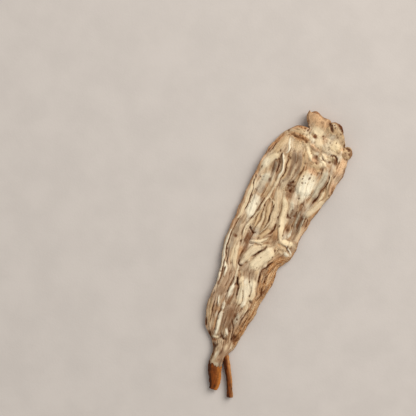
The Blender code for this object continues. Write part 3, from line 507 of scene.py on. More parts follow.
PITS = tuple(Pit(*row) for row in (
    (-1, 62.3, 1, 0.3), (2.7, 64.2, 0.6, 0.5), (6.7, 62.5, 0.45, 0.4), (2, 42, 0.45, 0.4),
    (3.2, 38.8, 0.6, 0.6), (5.1, 31.2, 0.5, 0.5), (-9, 20.4, 0.6, 0.6), (-2.4, 1.9, 0.5, 0.4),
    (3.4, -23.8, 0.5, 0.5), (11.3, -13.5, 0.5, 0.4), (-1.1, 37.3, 0.65, 0.8), (-2.6, 35.2, 0.6, 0.7),
    (-0.4, 32.9, 0.7, 0.9), (-2.2, 36.6, 0.4, 0.5), (0.4, 35.2, 0.5, 0.5), (-1.2, 35, 0.45, 0.5),
    (5, 50.6, 0.55, 0.5), (4.4, 24.6, 0.45, 0.4), (6.5, 22.3, 0.7, 0.5), (5.3, 20.3, 0.55, 0.5),
    (12.6, 21.8, 0.4, 0.4), (-13.4, 43.6, 0.45, 0.4), (-15.8, 33.2, 0.4, 0.3), (-15.8, 31.4, 0.35, 0.3),
    (-15.7, 26, 0.4, 0.3), (-15.2, 0.8, 0.8, 0.4), (17.6, 39.2, 0.5, 0.4), (14.8, 20.2, 0.5, 0.4),
    (8.8, 66.2, 0.4, 0.3), (9.6, 68.4, 0.6, 0.4), (-6.9, -14, 0.4, 0.4), (3.1, 62.8, 0.45, 0.4),
    (4.4, 71, 0.5, 0.6), (6.2, 70.2, 0.5, 0.5), (5.2, 68.6, 0.6, 0.6), (9.6, 71.4, 0.5, 0.5),
    (10.4, 69.9, 0.5, 0.4), (7.6, 71.6, 0.35, 0.4), (15.9, 64.1, 0.8, 0.5), (17.3, 63.2, 0.6, 0.5),
    (18.5, 64, 0.5, 0.4), (18.2, 61.2, 0.6, 0.4), (16.4, 60.9, 0.5, 0.4), (-11.4, 59.2, 0.6, 0.2),
    (-9.9, 58.1, 0.5, 0.2), (-8.3, 59.5, 0.5, 0.3), (-6.2, 58.9, 0.6, 0.2), (-4.8, 59.8, 0.4, 0.3),
    (-7.4, 57.4, 0.4, 0.2), (-3.6, 58.2, 0.5, 0.4), (-7.3, 64, 0.6, 0.5), (-9, 63.6, 0.4, 0.3),
    (5.6, 71.8, 0.4, 0.6),
))

STAINS = tuple(Stain(*row) for row in (
    # bleached flesh
    (WHITE, 0.95, 5.4, 37.2, 4.4, 6.9, -4), (PEACH, 0.7, 5.4, 46.2, 3.4, 1.8),
    (WHITE, 0.65, -14.2, 17.4, 2.5, 5.4, -6), (PALE, 0.8, 0.8, -22.8, 4, 7.6, -14),
    (WHITE, 0.55, 1, -22, 2.6, 5.6, -14), (PALE, 0.6, -5.2, -3.6, 1.9, 4.6, -32),
    (CREAM, 0.5, 1.8, -3.8, 2.4, 5.4, -28), (WHITE, 0.5, -17.4, 40, 1.8, 2.8),
    (WHITE, 0.5, -15, 30.4, 2.6, 6.4, -4), (ASH, 0.5, -14.2, 32, 1.8, 4.6, -6),
    (CREAM, 0.6, 9.6, 62.6, 3.6, 2.6), (CREAM, 0.55, -0.8, 65.4, 4.4, 1.8), (PALE, 0.6, 2, 60.2, 2.2, 2.8),
    (CREAM, 0.55, 10.5, 8.6, 3.4, 1.7), (PALE, 0.6, 13.2, 13.4, 1.3, 2.6), (ASH, 0.6, 12, 44.6, 1.3, 4),
    (WHITE, 0.5, -5.6, -24.6, 1, 4.6), (WHITE, 0.6, 7, -51.8, 0.8, 1.7, 20),
    (WHITE, 0.6, 5.2, 71.2, 1.1, 0.9, -30), (PALE, 0.6, 8.3, 69.8, 1.2, 1.8, 35),
    # greyed flesh
    (SMOKE, 0.5, -12.8, 40.8, 1.9, 3, 10), (GREY, 0.4, -14.2, 28.2, 2.2, 2.8),
    (SMOKE, 0.3, -13.2, 28.6, 0.7, 3.4, -6), (GREY, 0.5, -4.4, 44, 2.8, 6),
    (SMOKE, 0.55, -4.8, 48.6, 2.6, 3, -10), (SMOKE, 0.55, 9.8, 20.4, 3.6, 5.2, 8),
    (ASH, 0.5, 8.8, 21.4, 0.7, 4, 4), (ASH, 0.5, 11.7, 20.8, 0.6, 3.4, 4),
    (PALE, 0.4, 12.7, 16.6, 1, 2.4, 6), (SMOKE, 0.5, 6.4, 22.4, 2.4, 2.2), (GREY, 0.7, -15, 2.4, 2.2, 7),
    (GREY, 0.8, -1.2, -13, 4.6, 2.6, -20), (GREY, 0.6, -1.4, -38, 3.4, 7, 4),
    (DUN, 0.7, -10.2, -20, 2.2, 6), (GREY, 0.7, 3.2, -57, 3.6, 7.4), (BROWN, 0.4, 3.2, -56, 3.2, 7),
    (BROWN, 0.3, -2, -38, 7, 9), (BROWN, 0.35, -1, -36, 2.6, 5), (BROWN, 0.35, -12.6, -32, 1.4, 4.6, 4),
    (UMBER, 0.5, 2.9, -55.4, 0.7, 2.8, -6), (UMBER, 0.5, 4.9, -59.6, 0.7, 2.6, 6),
    (ASH, 0.8, 1.5, -57.2, 0.8, 2.8), (ASH, 0.7, 3, -61.6, 1.5, 1.4), (PALE, 0.6, 4.2, -51.6, 0.9, 2.2),
    (WHITE, 0.5, 0.9, -56.6, 0.35, 1.4), (DUN, 0.4, 1.6, 55.8, 2.4, 1.4), (GREY, 0.5, 12.4, 34.6, 1.4, 3),
    # browned flesh and dirt
    (BROWN, 0.6, -1.1, 34.4, 2.3, 4), (SMOKE, 0.6, -1.3, 35, 1.9, 3), (BROWN, 0.6, -0.4, 30, 2.2, 1.3),
    (ORANGE, 0.6, -11, 39.4, 0.7, 2.6, 12), (BARK, 0.6, -16.6, 53.6, 0.7, 5.2, -22),
    (BROWN, 0.6, 7.8, 27.6, 1.9, 2), (BROWN, 0.75, 13.9, 21.6, 1.2, 3.2, -14),
    (BROWN, 0.6, 3, 7.6, 1.6, 2.8), (BROWN, 0.55, 6.7, 14.4, 0.8, 2.6), (BROWN, 0.5, 8.8, 10, 1.8, 0.5),
    (BROWN, 0.9, -9.6, 2.2, 1.7, 4), (BROWN, 0.65, -8.4, -5.4, 1.2, 6.4),
    (BROWN, 0.5, -0.4, -35.4, 2.2, 3.6, -10), (UMBER, 0.5, 1.4, -41, 1.2, 3.2, 6),
    (UMBER, 0.55, 0.8, -47.8, 2.6, 1.1), (BROWN, 0.5, -3.6, -28.4, 1, 4, -10),
    (BROWN, 0.75, 10.4, 0.2, 2.6, 2, -30), (BROWN, 0.65, -15.8, 0.8, 1.5, 0.9),
    (BROWN, 0.5, -10.4, -27.4, 2.4, 2.8), (BROWN, 0.6, 4.2, -9.4, 1, 3.6, 8),
    (BROWN, 0.8, 8.6, -19.2, 1.8, 2.4), (UMBER, 0.7, 5.4, -25.8, 1.5, 0.9, -14),
    (ORANGE, 0.6, -13.4, -22.6, 0.6, 2.8, 6), (BROWN, 0.5, -4.2, -22, 0.9, 5, -22),
    # Umber and dark patches at the tail's left edge are painted shade with brown colour.
    (UMBER, 0.9, 6.4, -46.2, 1.9, 2), (UMBER, 0.8, -11, -44.4, 1.4, 2.6, 20),
    (UMBER, 0.85, -6.6, -48.8, 1.6, 1.5, 20), (DARK, 0.8, -4.2, -50.8, 1.1, 1.8, 20),
    (UMBER, 0.95, -1.6, -53, 1.7, 2), (ORANGE, 0.8, -2.6, -50.8, 1.2, 0.8),
    (UMBER, 0.85, -0.5, -57.6, 1, 5.4, 8), (BROWN, 0.6, 3, -63.8, 3, 0.9), (BROWN, 0.55, 5.9, -57, 0.6, 4),
    (BARK, 0.75, -8, 58.5, 5.6, 1.8, 3), (BROWN, 0.6, -7.6, 58.7, 5.2, 1, 3),
    (BARK, 0.75, -8, 64.2, 3.4, 1, 8), (WHITE, 0.5, 5.9, 70.5, 0.9, 0.6, -30),
    (ORANGE, 0.85, -1, 62.3, 1.2, 1.1), (ORANGE, 0.6, 3.6, 53.3, 1.3, 1.1),
    (BROWN, 0.85, 13.4, 55.5, 1.4, 2.4, 24), (UMBER, 0.6, 13.6, 55.2, 0.7, 1.6, 24),
    (SMOKE, 0.6, 10.5, 57.2, 1, 0.8), (UMBER, 0.8, 10.7, 53.7, 0.8, 0.7),
    (BEIGE, 0.75, 17.4, 54.6, 2.2, 4.8), (PEACH, 0.5, 17.4, 54, 2.2, 7), (BROWN, 0.45, 9.2, 49.6, 1, 1.6),
    (BROWN, 0.6, -0.5, 72.3, 1.2, 0.9), (BROWN, 0.5, -0.8, 70, 1, 0.8), (BROWN, 0.5, 2, 71, 1, 2.2),
    (ORANGE, 0.6, -5.4, 73.4, 2, 0.7), (BROWN, 0.3, 7.4, 69.6, 3.6, 3.2),
    (UMBER, 0.95, 8.9, 71.6, 2.9, 1.1, -36), (UMBER, 0.85, 4.2, 69.8, 0.9, 3, 42),
    (BROWN, 0.7, 5.6, 72.7, 2.4, 0.7), (PALE, 0.7, 5.6, 71, 1.1, 0.8, -30),
    (UMBER, 0.8, 16.7, 63.9, 1.5, 0.9, -20), (DUN, 0.5, 17, 61.2, 2, 1.6, 20), (BROWN, 0.8, 19, 61.8, 1, 2),
    (BROWN, 0.5, 16.2, 60.2, 1.4, 0.9), (UMBER, 0.65, 19.7, 53.8, 0.9, 1.8),
    (BROWN, 0.6, 18.6, 42.2, 1, 2.6), (BARK, 0.5, 15.9, 28.6, 0.6, 4, -24),
    (PALE, 0.6, 14.2, 31.6, 1.2, 4.6, -24), (ASH, 0.35, 1, -4.4, 4.4, 5.6, -28),
    (ASH, 0.3, -5, -3.4, 2, 4.4, -32), (ASH, 0.25, 1, -21, 3.4, 7, -14), (WHITE, 0.7, -4.4, -43, 1, 6, 8),
    (PALE, 0.4, -7.4, -43.6, 1, 3.4, 14), (WHITE, 0.6, 1.1, -44.6, 0.6, 2, 14),
    (WHITE, 0.5, -7.4, -38.6, 0.5, 2.2, 8),
))

# Inner edge of the brown bark on the lower right, as y and x in turn, and the y over which it ends
BARK_EDGE = (-55.0, 6.6, -48.0, 6.2, -40.0, 5.4, -28.0, 6.3, -20.0, 6.6, -15.0, 4.9, -10.0, 3.6, -4.0, 6.4,
             0.0, 8.6, 3.0, 13.0, 4.5, 16.0)
BARK_END = (5.5, 2.0)


@dataclass(frozen=True)
class SheetForm:
    """Outline, thickness, warp and underside of the slice, as in the CAD solid.

    Both edges are places from the tail to the crown, as x and y in turn.
    """

    sheet_thickness: float = 3.6
    crown_thickness: float = 6.3
    tail_thickness: float = 2.9
    rim_thickness: float = 1.7
    rim_rounding: float = 0.45
    rim_slope: float = 2.6
    crown_span: tuple[float, float] = (38.0, 62.0)
    tail_span: tuple[float, float] = (-30.0, -50.0)
    lumps_span: tuple[float, float] = (50.0, 57.0)
    rib_count: float = 11.0
    rib_height: float = 0.75
    rim_relief: float = 0.35
    under_rib_count: float = 7.0
    under_rib_height: float = 0.9
    under_sink: float = 0.12
    patch_centre: tuple[float, float] = (-1.0, 12.0)
    patch_radius: float = 8.0
    patch_blend: float = 3.0
    patch_wander: float = 1.2
    rim_lift: float = 0.7
    rim_lift_width: float = 2.0
    thinnest: float = 1.3
    crown_arch: tuple[float, float, float] = (1.3, 23.0, 62.0)
    tail_arch: tuple[float, float, float] = (1.4, 1.0, -50.0)
    left_curl: float = 1.1
    right_curl: float = 0.7
    curl_power: float = 4.0
    tongue_lift: float = 1.8
    tongue_span: tuple[float, float] = (-50.0, -60.0)
    crown_overrun: float = 4.0
    left_edge: Points = (
        2.2, -64.8, 0.6, -62.6, -0.7, -60.0, -1.0, -57.5, -1.7, -54.5, -4.4, -51.2, -7.2, -49.0, -9.6, -46.5,
        -11.8, -42.5, -13.3, -37.5, -14.0, -33.0, -13.9, -27.0, -14.8, -20.5, -16.2, -14.5, -18.2, -8.5,
        -19.3, -4.0, -19.8, 2.0, -19.9, 10.0, -20.4, 20.0, -20.5, 30.0, -20.2, 41.0, -19.6, 47.5, -18.2, 52.8,
        -16.4, 57.4, -14.2, 61.0, -11.6, 63.8, -9.0, 65.2)
    right_edge: Points = (
        4.2, -64.8, 5.6, -62.8, 6.1, -60.0, 5.9, -57.0, 6.8, -54.8, 8.0, -52.0, 8.8, -49.0, 9.2, -44.0,
        9.6, -38.5, 10.4, -31.0, 10.2, -25.0, 10.9, -19.5, 11.8, -14.5, 11.2, -9.0, 10.9, -5.0, 12.6, -1.5,
        14.6, 2.0, 15.0, 7.0, 14.4, 12.0, 15.0, 17.5, 15.6, 22.0, 16.2, 27.5, 17.6, 33.5, 18.8, 39.5,
        19.6, 45.5, 20.3, 51.0, 20.4, 55.0, 19.4, 58.5, 18.0, 61.5, 14.2, 65.2)
    left_wear: tuple[Wave, ...] = (Wave(0.15, 0.0, 0.74, 0.4), Wave(0.05, 0.0, 2.31, 1.1))
    right_wear: tuple[Wave, ...] = (Wave(0.15, 0.0, 0.62, 2.2), Wave(0.05, 0.0, 2.04, 0.3))
    rib_bend: tuple[Wave, ...] = (Wave(0.35, 0.0, 0.11, 1.3), Wave(0.22, 0.2, 0.27, 0.0))
    under_waves: tuple[Wave, ...] = (Wave(0.2, 0.3, 0.21, 0.0), Wave(0.1, 0.7, 0.55, 2.0))

    @property
    def tail_end(self) -> float:
        """The y of the slice's tail end."""
        return self.left_edge[1]

    @property
    def crown_end(self) -> float:
        """The y where the sheet ends under the knobs."""
        return self.left_edge[-1]

    def edges(self, y: Array) -> tuple[Array, Array]:
        """The outline's sides: smooth curves with a little wear.

        Args:
            y: Places along the slice.

        Returns:
            The left and the right x at those places.
        """
        sides = ((self.left_edge, self.left_wear), (self.right_edge, self.right_wear))
        return tuple(np.interp(y, *smooth_path(edge).T[::-1]) + ripple(0.0, y, wear) for edge, wear in sides)

    def across(self, x: Array, y: Array) -> Array:
        """Where x lies between the outline's sides, from 0 at the left to 1 at the right."""
        left, right = self.edges(y)
        return (x - left) / (right - left)

    def rim_distance(self, x: Array, y: Array) -> Array:
        """Distance in from the outline, near enough for a slope.

        Args:
            x: Places across the slice.
            y: Places along it.

        Returns:
            The least of the distances to the two sides and the two ends.
        """
        left, right = self.edges(y)
        sides = np.minimum(x - left, right - x)
        ends = np.minimum(y - self.tail_end, self.crown_end + self.crown_overrun - y)
        return np.clip(np.minimum(sides, ends), 0.0, None)

    def thickness(self, y: Array) -> Array:
        """Thickness along the slice: thin at the tail, thick in the crown.

        Args:
            y: Places along the slice.

        Returns:
            The thickness in millimetres, away from the rims.
        """
        tail = (self.tail_thickness - self.sheet_thickness) * smooth_step(y, *self.tail_span)
        crown = (self.crown_thickness - self.sheet_thickness) * smooth_step(y, *self.crown_span)
        return self.sheet_thickness + tail + crown

    @staticmethod
    def arch(y: Array, height: float, start: float, end: float) -> Array:
        """A rise and fall between start and end: height times the squared sine of half a turn."""
        return height * np.sin(np.pi * np.clip((y - start) / (end - start), 0.0, 1.0)) ** 2

    def patch_freedom(self, x: Array, y: Array) -> Array:
        """How far a place is from the pressed flat patch, whose outline wanders a little.

        Args:
            x: Places across the slice.
            y: Places along it.

        Returns:
            0 on the patch and 1 away from it.
        """
        east, north = x - self.patch_centre[0], y - self.patch_centre[1]
        radius = self.patch_radius + self.patch_wander * np.sin(3.0 * np.arctan2(north, east) + 0.8)
        return smooth_step(np.hypot(east, north) - radius, 0.0, self.patch_blend)

    def warp(self, x: Array, y: Array) -> Array:
        """Rise of the whole sheet: two arches, the curl of its rims and the tongue over the stub.

        Args:
            x: Places across the slice.
            y: Places along it.

        Returns:
            The rise in millimetres.
        """
        across = np.clip(self.across(x, y), 0.0, 1.0)
        curl = self.left_curl * (1.0 - across) ** self.curl_power
        curl += self.right_curl * across ** self.curl_power
        waist = (1.0 - smooth_step(y, *self.tail_span)) * (1.0 - smooth_step(y, *self.lumps_span))
        rise = self.arch(y, *self.crown_arch) + self.arch(y, *self.tail_arch) + curl * waist
        return rise * self.patch_freedom(x, y) + self.tongue_lift * smooth_step(y, *self.tongue_span)

    def rib_phase(self, x: Array, y: Array, count: float) -> Array:
        """Phase of ribs that follow the outline: the width fraction times their count, bent by waves."""
        return count * self.across(x, y) + ripple(x, y, self.rib_bend)

    def underside(self, x: Array, y: Array) -> Array:
        """Height of the underside: shallow ridges over a flat patch, under the warp of the sheet.

        Args:
            x: Places across the slice.
            y: Places along it.

        Returns:
            The height in millimetres, nowhere below the table.
        """
        lift = self.rim_lift * np.exp(-self.rim_distance(x, y) / self.rim_lift_width)
        ribs = rounded_stripes(self.rib_phase(x, y, self.under_rib_count))
        raised = lift + self.under_rib_height * (1.0 - ribs) + ripple(x, y, self.under_waves)
        return np.maximum((raised - self.under_sink) * self.patch_freedom(x, y) + self.warp(x, y), 0.0)


@dataclass
class Survey:
    """What the cut face is like at each place asked about.

    The heights are in millimetres. The fibre coordinates are the distance across and along the strand
    that lies on top there, and a number of its own. The rest are from 0 to 1.
    """

    height: Array
    tint: Array
    fibre: Array
    dark: Array
    bark: Array
    grain: Array


@dataclass(frozen=True)
class FineStrands:
    """Seeded finer strands, which fill the face between the named ones and run with them."""

    form: SheetForm
    count: int = 620
    seed: int = 23
    step: float = 1.7
    steps: tuple[int, int] = (4, 15)
    highest: float = 54.0
    inside: tuple[float, float] = (0.03, 0.97)
    reach: float = 2.2
    outline_pull: float = 0.02
    half_widths: tuple[float, float] = (0.3, 0.95)
    crests: tuple[float, float] = (0.2, 0.75)
    tone_change: tuple[float, float] = (4.0, -20.0)
    upper_tones: tuple[Tone, ...] = (CREAM, PALE, PALE, BEIGE, BEIGE, TAN, GREY, PEACH)
    lower_tones: tuple[Tone, ...] = (PALE, BEIGE, TAN, TAN, GREY, GREY, BROWN, CREAM)

    def grow(self) -> tuple[Strand, ...]:
        """Trace them all at once.

        Places and headings are complex numbers. From a random start, each strand steps on in the mean
        direction of the named strands near it, weighted by a bell curve of their distance, with a
        weak pull along the outline. Squared headings make up and down count as one direction.

        Returns:
            The strands, all tones and sizes drawn from the seed.
        """
        random = np.random.default_rng(self.seed)
        y = random.uniform(self.form.tail_end + 1.0, self.highest, self.count)
        left, right = self.form.edges(y)
        place = left + random.uniform(*self.inside, self.count) * (right - left) + 1j * y
        middles, tangents = self._guides()
        heading = np.full(self.count, 1j)
        track = [place]
        for _ in range(self.steps[1]):
            pull = np.exp(-(np.abs(place[:, None] - middles) / self.reach) ** 2)
            doubled = pull @ tangents ** 2 + self.outline_pull * self._along_outline(place) ** 2
            turned = np.sqrt(doubled / np.abs(doubled))
            heading = np.where((turned * heading.conj()).real < 0.0, -turned, turned)
            place = place + heading * self.step
            track.append(place)
        routes = np.stack([np.real(track), np.imag(track)], axis=-1)
        ends = random.integers(*self.steps, self.count) + 1
        half_widths = random.uniform(*self.half_widths, self.count)
        crests = random.uniform(*self.crests, self.count)
        picks = random.random(self.count)
        strands = []
        for index, low in enumerate(smooth_step(y, *self.tone_change) > picks):
            tones = self.lower_tones if low else self.upper_tones
            tone = tones[int(picks[index] * 1000.0) % len(tones)]
            path = routes[:ends[index], index].ravel()
            strands.append(Strand(tone, half_widths[index], crests[index], path))
        return tuple(strands)

    @staticmethod
    def _guides() -> tuple[Array, Array]:
        """Short lengths of the named strands.

        Returns:
            Their middles and their unit tangents, as complex numbers.
        """
        middles, tangents = [], []
        for strand in STRANDS:
            line = smooth_path(strand.path, steps=4) @ np.array([1.0, 1j])
            middles.append((line[1:] + line[:-1]) / 2.0)
            tangents.append(np.diff(line) / np.abs(np.diff(line)))
        return np.concatenate(middles), np.concatenate(tangents)

    def _along_outline(self, place: Array) -> Array:
        """Headings that keep each place at its fraction of the width.

        Args:
            place: The places, as complex numbers.

        Returns:
            Unit headings, as complex numbers.
        """
        low_left, low_right = self.form.edges(place.imag - 1.0)
        high_left, high_right = self.form.edges(place.imag + 1.0)
        across = self.form.across(place.real, place.imag)
        heading = (high_left - low_left) * (1.0 - across) + (high_right - low_right) * across + 2j
        return heading / np.abs(heading)


@dataclass(frozen=True)
class CutFace:
    """The cut face: ribs and strands over the sheet's form, with crevices, pits and stains."""

    form: SheetForm
    fine_strands: tuple[Strand, ...]
    rib_share: float = 0.8
    named_share: float = 0.8
    fine_share: float = 0.65
    named_tint: float = 0.9
    fine_tint: float = 0.4
    weather_over: float = 0.35
    fibre_relief: float = 0.26
    fine_relief: float = 0.14
    lump_relief: float = 1.5
    crown_calm: float = 0.45
    crease_fill: float = 0.7
    end_taper: float = 2.6
    # Darkening and warming down each strand's sides: painted shade.
    side_shade: tuple[float, float, float] = (0.08, 0.13, 0.2)
    lean: float = 0.4
    bark_blur: tuple[float, float] = (-0.6, 1.2)
    rim_bark: float = 0.4
    rim_bark_width: float = 0.9
    base_grain: float = 0.16
    crown_grain: float = 0.2
    patchy_grain: float = 0.4
    speck_count: int = 340
    speck_seed: int = 4
    speck_field: tuple[tuple[float, float], tuple[float, float]] = ((-20.0, -64.0), (20.0, 74.0))
    speck_sizes: tuple[float, float] = (0.22, 0.62)
    speck_shades: tuple[float, float] = (0.1, 0.7)
    speck_depth: float = 0.15
    speck_length: float = 1.6
    swellings: tuple[Bell, ...] = (
        Bell(1.3, 8.5, 61.6, 4.9, 4.9), Bell(1.1, 0.5, 61.2, 4.2, 4.2), Bell(0.6, -8.6, 61.6, 3.0, 3.0))
    dirt: tuple[Bell, ...] = (
        Bell(1.3, -1.0, 34.0, 2.6, 4.4), Bell(0.9, 9.0, 67.0, 3.4, 3.0), Bell(0.9, -8.0, 58.6, 5.0, 1.6))
    weather: tuple[Mottle, ...] = (
        Mottle(BROWN, 0.42, (4.4, 8.0), (11.0, 0.0), (0.5, 0.72)),
        Mottle(SMOKE, 0.4, (3.6, 6.0), (0.0, 13.0), (0.56, 0.74)),
        Mottle(WHITE, 0.5, (3.4, 9.0), (5.0, 2.0), (0.5, 0.7)))
    ground: tuple[Mottle, ...] = (
        Mottle(GREY, 1.0, (3.0, 9.0), (2.0, 0.0), (0.4, 0.65)),
        Mottle(BROWN, 0.6, (3.0, 9.0), (2.0, 0.0), (0.42, 0.3)))
    crown_ground: tuple[Mottle, ...] = (
        Mottle(PEACH, 0.7, (3.6, 3.6), (0.0, 3.0), (0.5, 0.7)),
        Mottle(WHITE, 0.5, (1.3, 1.3), (6.0, 0.0), (0.55, 0.7)),
        Mottle(BROWN, 0.55, (1.3, 1.3), (6.0, 0.0), (0.38, 0.22)))

    def survey(self, x: Array, y: Array) -> Survey:
        """Height, colour and fibre coordinates of the cut face.

        The height is the sheet's, plus the highest of the ribs and strands there, plus fibre noise
        stretched along that strand, plus lumps in the crown, less crevices and pits.

        Args:
            x: Places across the slice.
            y: Places along it, of the same shape.

        Returns:
            The survey at those places.
        """
        form = self.form
        inner = 1.0 - np.exp(-form.rim_distance(x, y) / form.rim_slope)
        base = form.rim_thickness + (form.thickness(y) - form.rim_thickness) * inner
        crown = smooth_step(y, *form.lumps_span)
        phase = form.rib_phase(x, y, form.rib_count)
        named = self.rib_share * form.rib_height * rounded_stripes(phase) * (1.0 - crown)
        fine = np.zeros(x.shape)
        fibre = joined(x, y, np.floor(phase) * 3.7)
        tint = self._mottled(self.weather, self._ground_tint(x, y, crown), x, y)
        bent = self._bent(x, y)
        for index, strand in enumerate(self.fine_strands):
            self._lay(strand, 200.0 + index, self.fine_tint, bent, (fine, tint, fibre))
        for index, strand in enumerate(STRANDS):
            self._lay(strand, float(index), self.named_tint, bent, (named, tint, fibre))
        aged = self._mottled(self.weather, tint, y * 0.6 + 40.0, x * 1.6)
        tint = self.stained(x, y, tint + (aged - tint) * self.weather_over)
        raised = self.named_share * named + self.fine_share * fine + self._fibre_noise(fibre)
        raised *= 1.0 - self.crown_calm * crown
        lumps = self.lump_relief * (GRAIN.layered(x / 3.4 + 3.0, y / 3.4) - 0.45)
        lumps += sum(hill.at(x, y) for hill in self.swellings)
        depth, dark = self.cuts(x, y)
        relief = raised * (form.rim_relief + (1.0 - form.rim_relief) * inner) + lumps * crown * inner
        grain = sum(spot.at(x, y) for spot in self.dirt) + self.base_grain + self.crown_grain * crown
        grain += self.patchy_grain * smooth_step(GRAIN.layered(x / 3.1, y / 4.2 + 9.0), 0.5, 0.7)
        height = base + relief - depth + form.warp(x, y)
        return Survey(height, tint, fibre, dark, self._bark(x, y), np.clip(grain, 0.0, 1.0))

    def cuts(self, x: Array, y: Array) -> tuple[Array, Array]:
        """Depth and darkness of the crevices, the pits and the seeded specks.

        A crevice is a bell curve across its path, with a width that wanders along it and pointed
        ends; a pit is a round bell curve, and a speck a bell curve drawn out along the slice. The
        darkness of crevices and pits is brown colour with painted shade in the hollow; that of specks
        is brown colour.

        Args:
            x: Places across the slice.
            y: Places along it.

        Returns:
            The depth in millimetres, and the darkness from 0 to 1.
        """
        depth, dark = np.zeros(x.shape), np.zeros(x.shape)
        bent_x, bent_y = self._bent(x, y)
        for number, crevice in enumerate(CREVICES):
            reach = 3.0 * crevice.half_width
            near, signed, along, length = self._nearest(crevice.path, reach, bent_x, bent_y)
            wander = GRAIN.layered(along * 0.6, number * 3.1)
            width = crevice.half_width * (0.55 + 0.9 * wander)
            ends = smooth_step(np.minimum(along, length - along), -0.4, 2.0)
            groove = np.exp(-(signed / width) ** 2) * ends
            depth[near] += crevice.depth * groove
            patchy = smooth_step(GRAIN.layered(x[near] / 1.2 + 4.0, y[near] / 1.8), 0.25, 0.7)
            # Darkness along the groove: brown colour with painted shade in the crevice.
            dark[near] = np.maximum(dark[near], crevice.shade * groove * (0.3 + 0.7 * patchy))
        for pit in PITS:
            sunk = 0.7 * pit.depth
            dip = np.exp(-((bent_x - pit.x) ** 2 + (bent_y - pit.y) ** 2) / pit.radius ** 2)
            depth += sunk * dip
            # A pit darkens towards its centre: brown colour with painted shade in the hollow.
            dark = np.maximum(dark, (0.3 + sunk) * dip)
        random = np.random.default_rng(self.speck_seed)
        places = random.uniform(*self.speck_field, (self.speck_count, 2))
        sizes = random.uniform(*self.speck_sizes, self.speck_count)
        shades = random.uniform(*self.speck_shades, self.speck_count)
        for (east, north), size, shade in zip(places, sizes, shades):
            off_x, off_y = bent_x - east, bent_y - north
            near = (np.abs(off_x) < 3.0 * size) & (np.abs(off_y) < 5.0 * size)
            dip = np.exp(-(off_x[near] / size) ** 2 - (off_y[near] / (self.speck_length * size)) ** 2)
            depth[near] += self.speck_depth * dip
            dark[near] = np.maximum(dark[near], shade * dip)
        return depth, dark

    @staticmethod
    def stained(x: Array, y: Array, tint: Array) -> Array:
        """The colours with every stain on them: each fades by a bell curve with a mottled edge.

        Args:
            x: Places across the slice.
            y: Places along it.
            tint: Colours at those places.

        Returns:
            The stained colours.
        """
        mottle = GRAIN.layered(x / 1.4, y / 2.6 + 7.0, octaves=4) - 0.5
        for stain in STAINS:
            cosine, sine = math.cos(math.radians(stain.turn)), math.sin(math.radians(stain.turn))
            east, north = x - stain.x, y - stain.y
            turned_x = (east * cosine + north * sine) / stain.x_radius
            turned_y = (north * cosine - east * sine) / stain.y_radius
            bell = np.exp(-(turned_x ** 2 + turned_y ** 2))
            weight = stain.strength * smooth_step(bell + mottle * 1.1 * bell ** 0.5, 0.1, 0.85)
            tint = blend(tint, stain.tone.linear, weight)
        return tint

    @staticmethod
    def _bent(x: Array, y: Array) -> tuple[Array, Array]:
        """The places moved a little by noise, so that what is laid out on them wanders."""
        return (x + 1.3 * (GRAIN.layered(x / 2.6 + 20.0, y / 3.6) - 0.5),
                y + 1.5 * (GRAIN.layered(x / 2.4, y / 3.2 + 20.0) - 0.5))

    @staticmethod
    def _nearest(path: Points, reach: float, x: Array, y: Array) -> tuple[Array, Array, Array, float]:
        """Distance to a path of the places near it.

        Args:
            path: The path's points.
            reach: How far from the path's box a place still counts.
            x: Places across the slice.
            y: Places along it.

        Returns:
            A mask of the places in reach, their signed distances, how far along they lie, and the
            path's length.
        """
        line = smooth_path(path, steps=4)
        low, high = line.min(axis=0) - reach, line.max(axis=0) + reach
        near = (x > low[0]) & (x < high[0]) & (y > low[1]) & (y < high[1])
        east, north = x[near], y[near]
        steps = np.diff(line, axis=0)
        lengths = np.hypot(steps[:, 0], steps[:, 1])
        starts = np.concatenate([[0.0], np.cumsum(lengths)[:-1]])
        best = np.full(east.shape, np.inf)
        signed, along = np.zeros(east.shape), np.zeros(east.shape)
        for (ax, ay), (dx, dy), start, length in zip(line[:-1], steps, starts, lengths):
            t = np.clip(((east - ax) * dx + (north - ay) * dy) / length ** 2, 0.0, 1.0)
            off_x, off_y = east - ax - t * dx, north - ay - t * dy
            distance = np.hypot(off_x, off_y)
            closer = distance < best
            best = np.where(closer, distance, best)
            signed = np.where(closer, np.copysign(distance, off_x * dy - off_y * dx), signed)
            along = np.where(closer, start + t * length, along)
        return near, signed, along, float(lengths.sum())

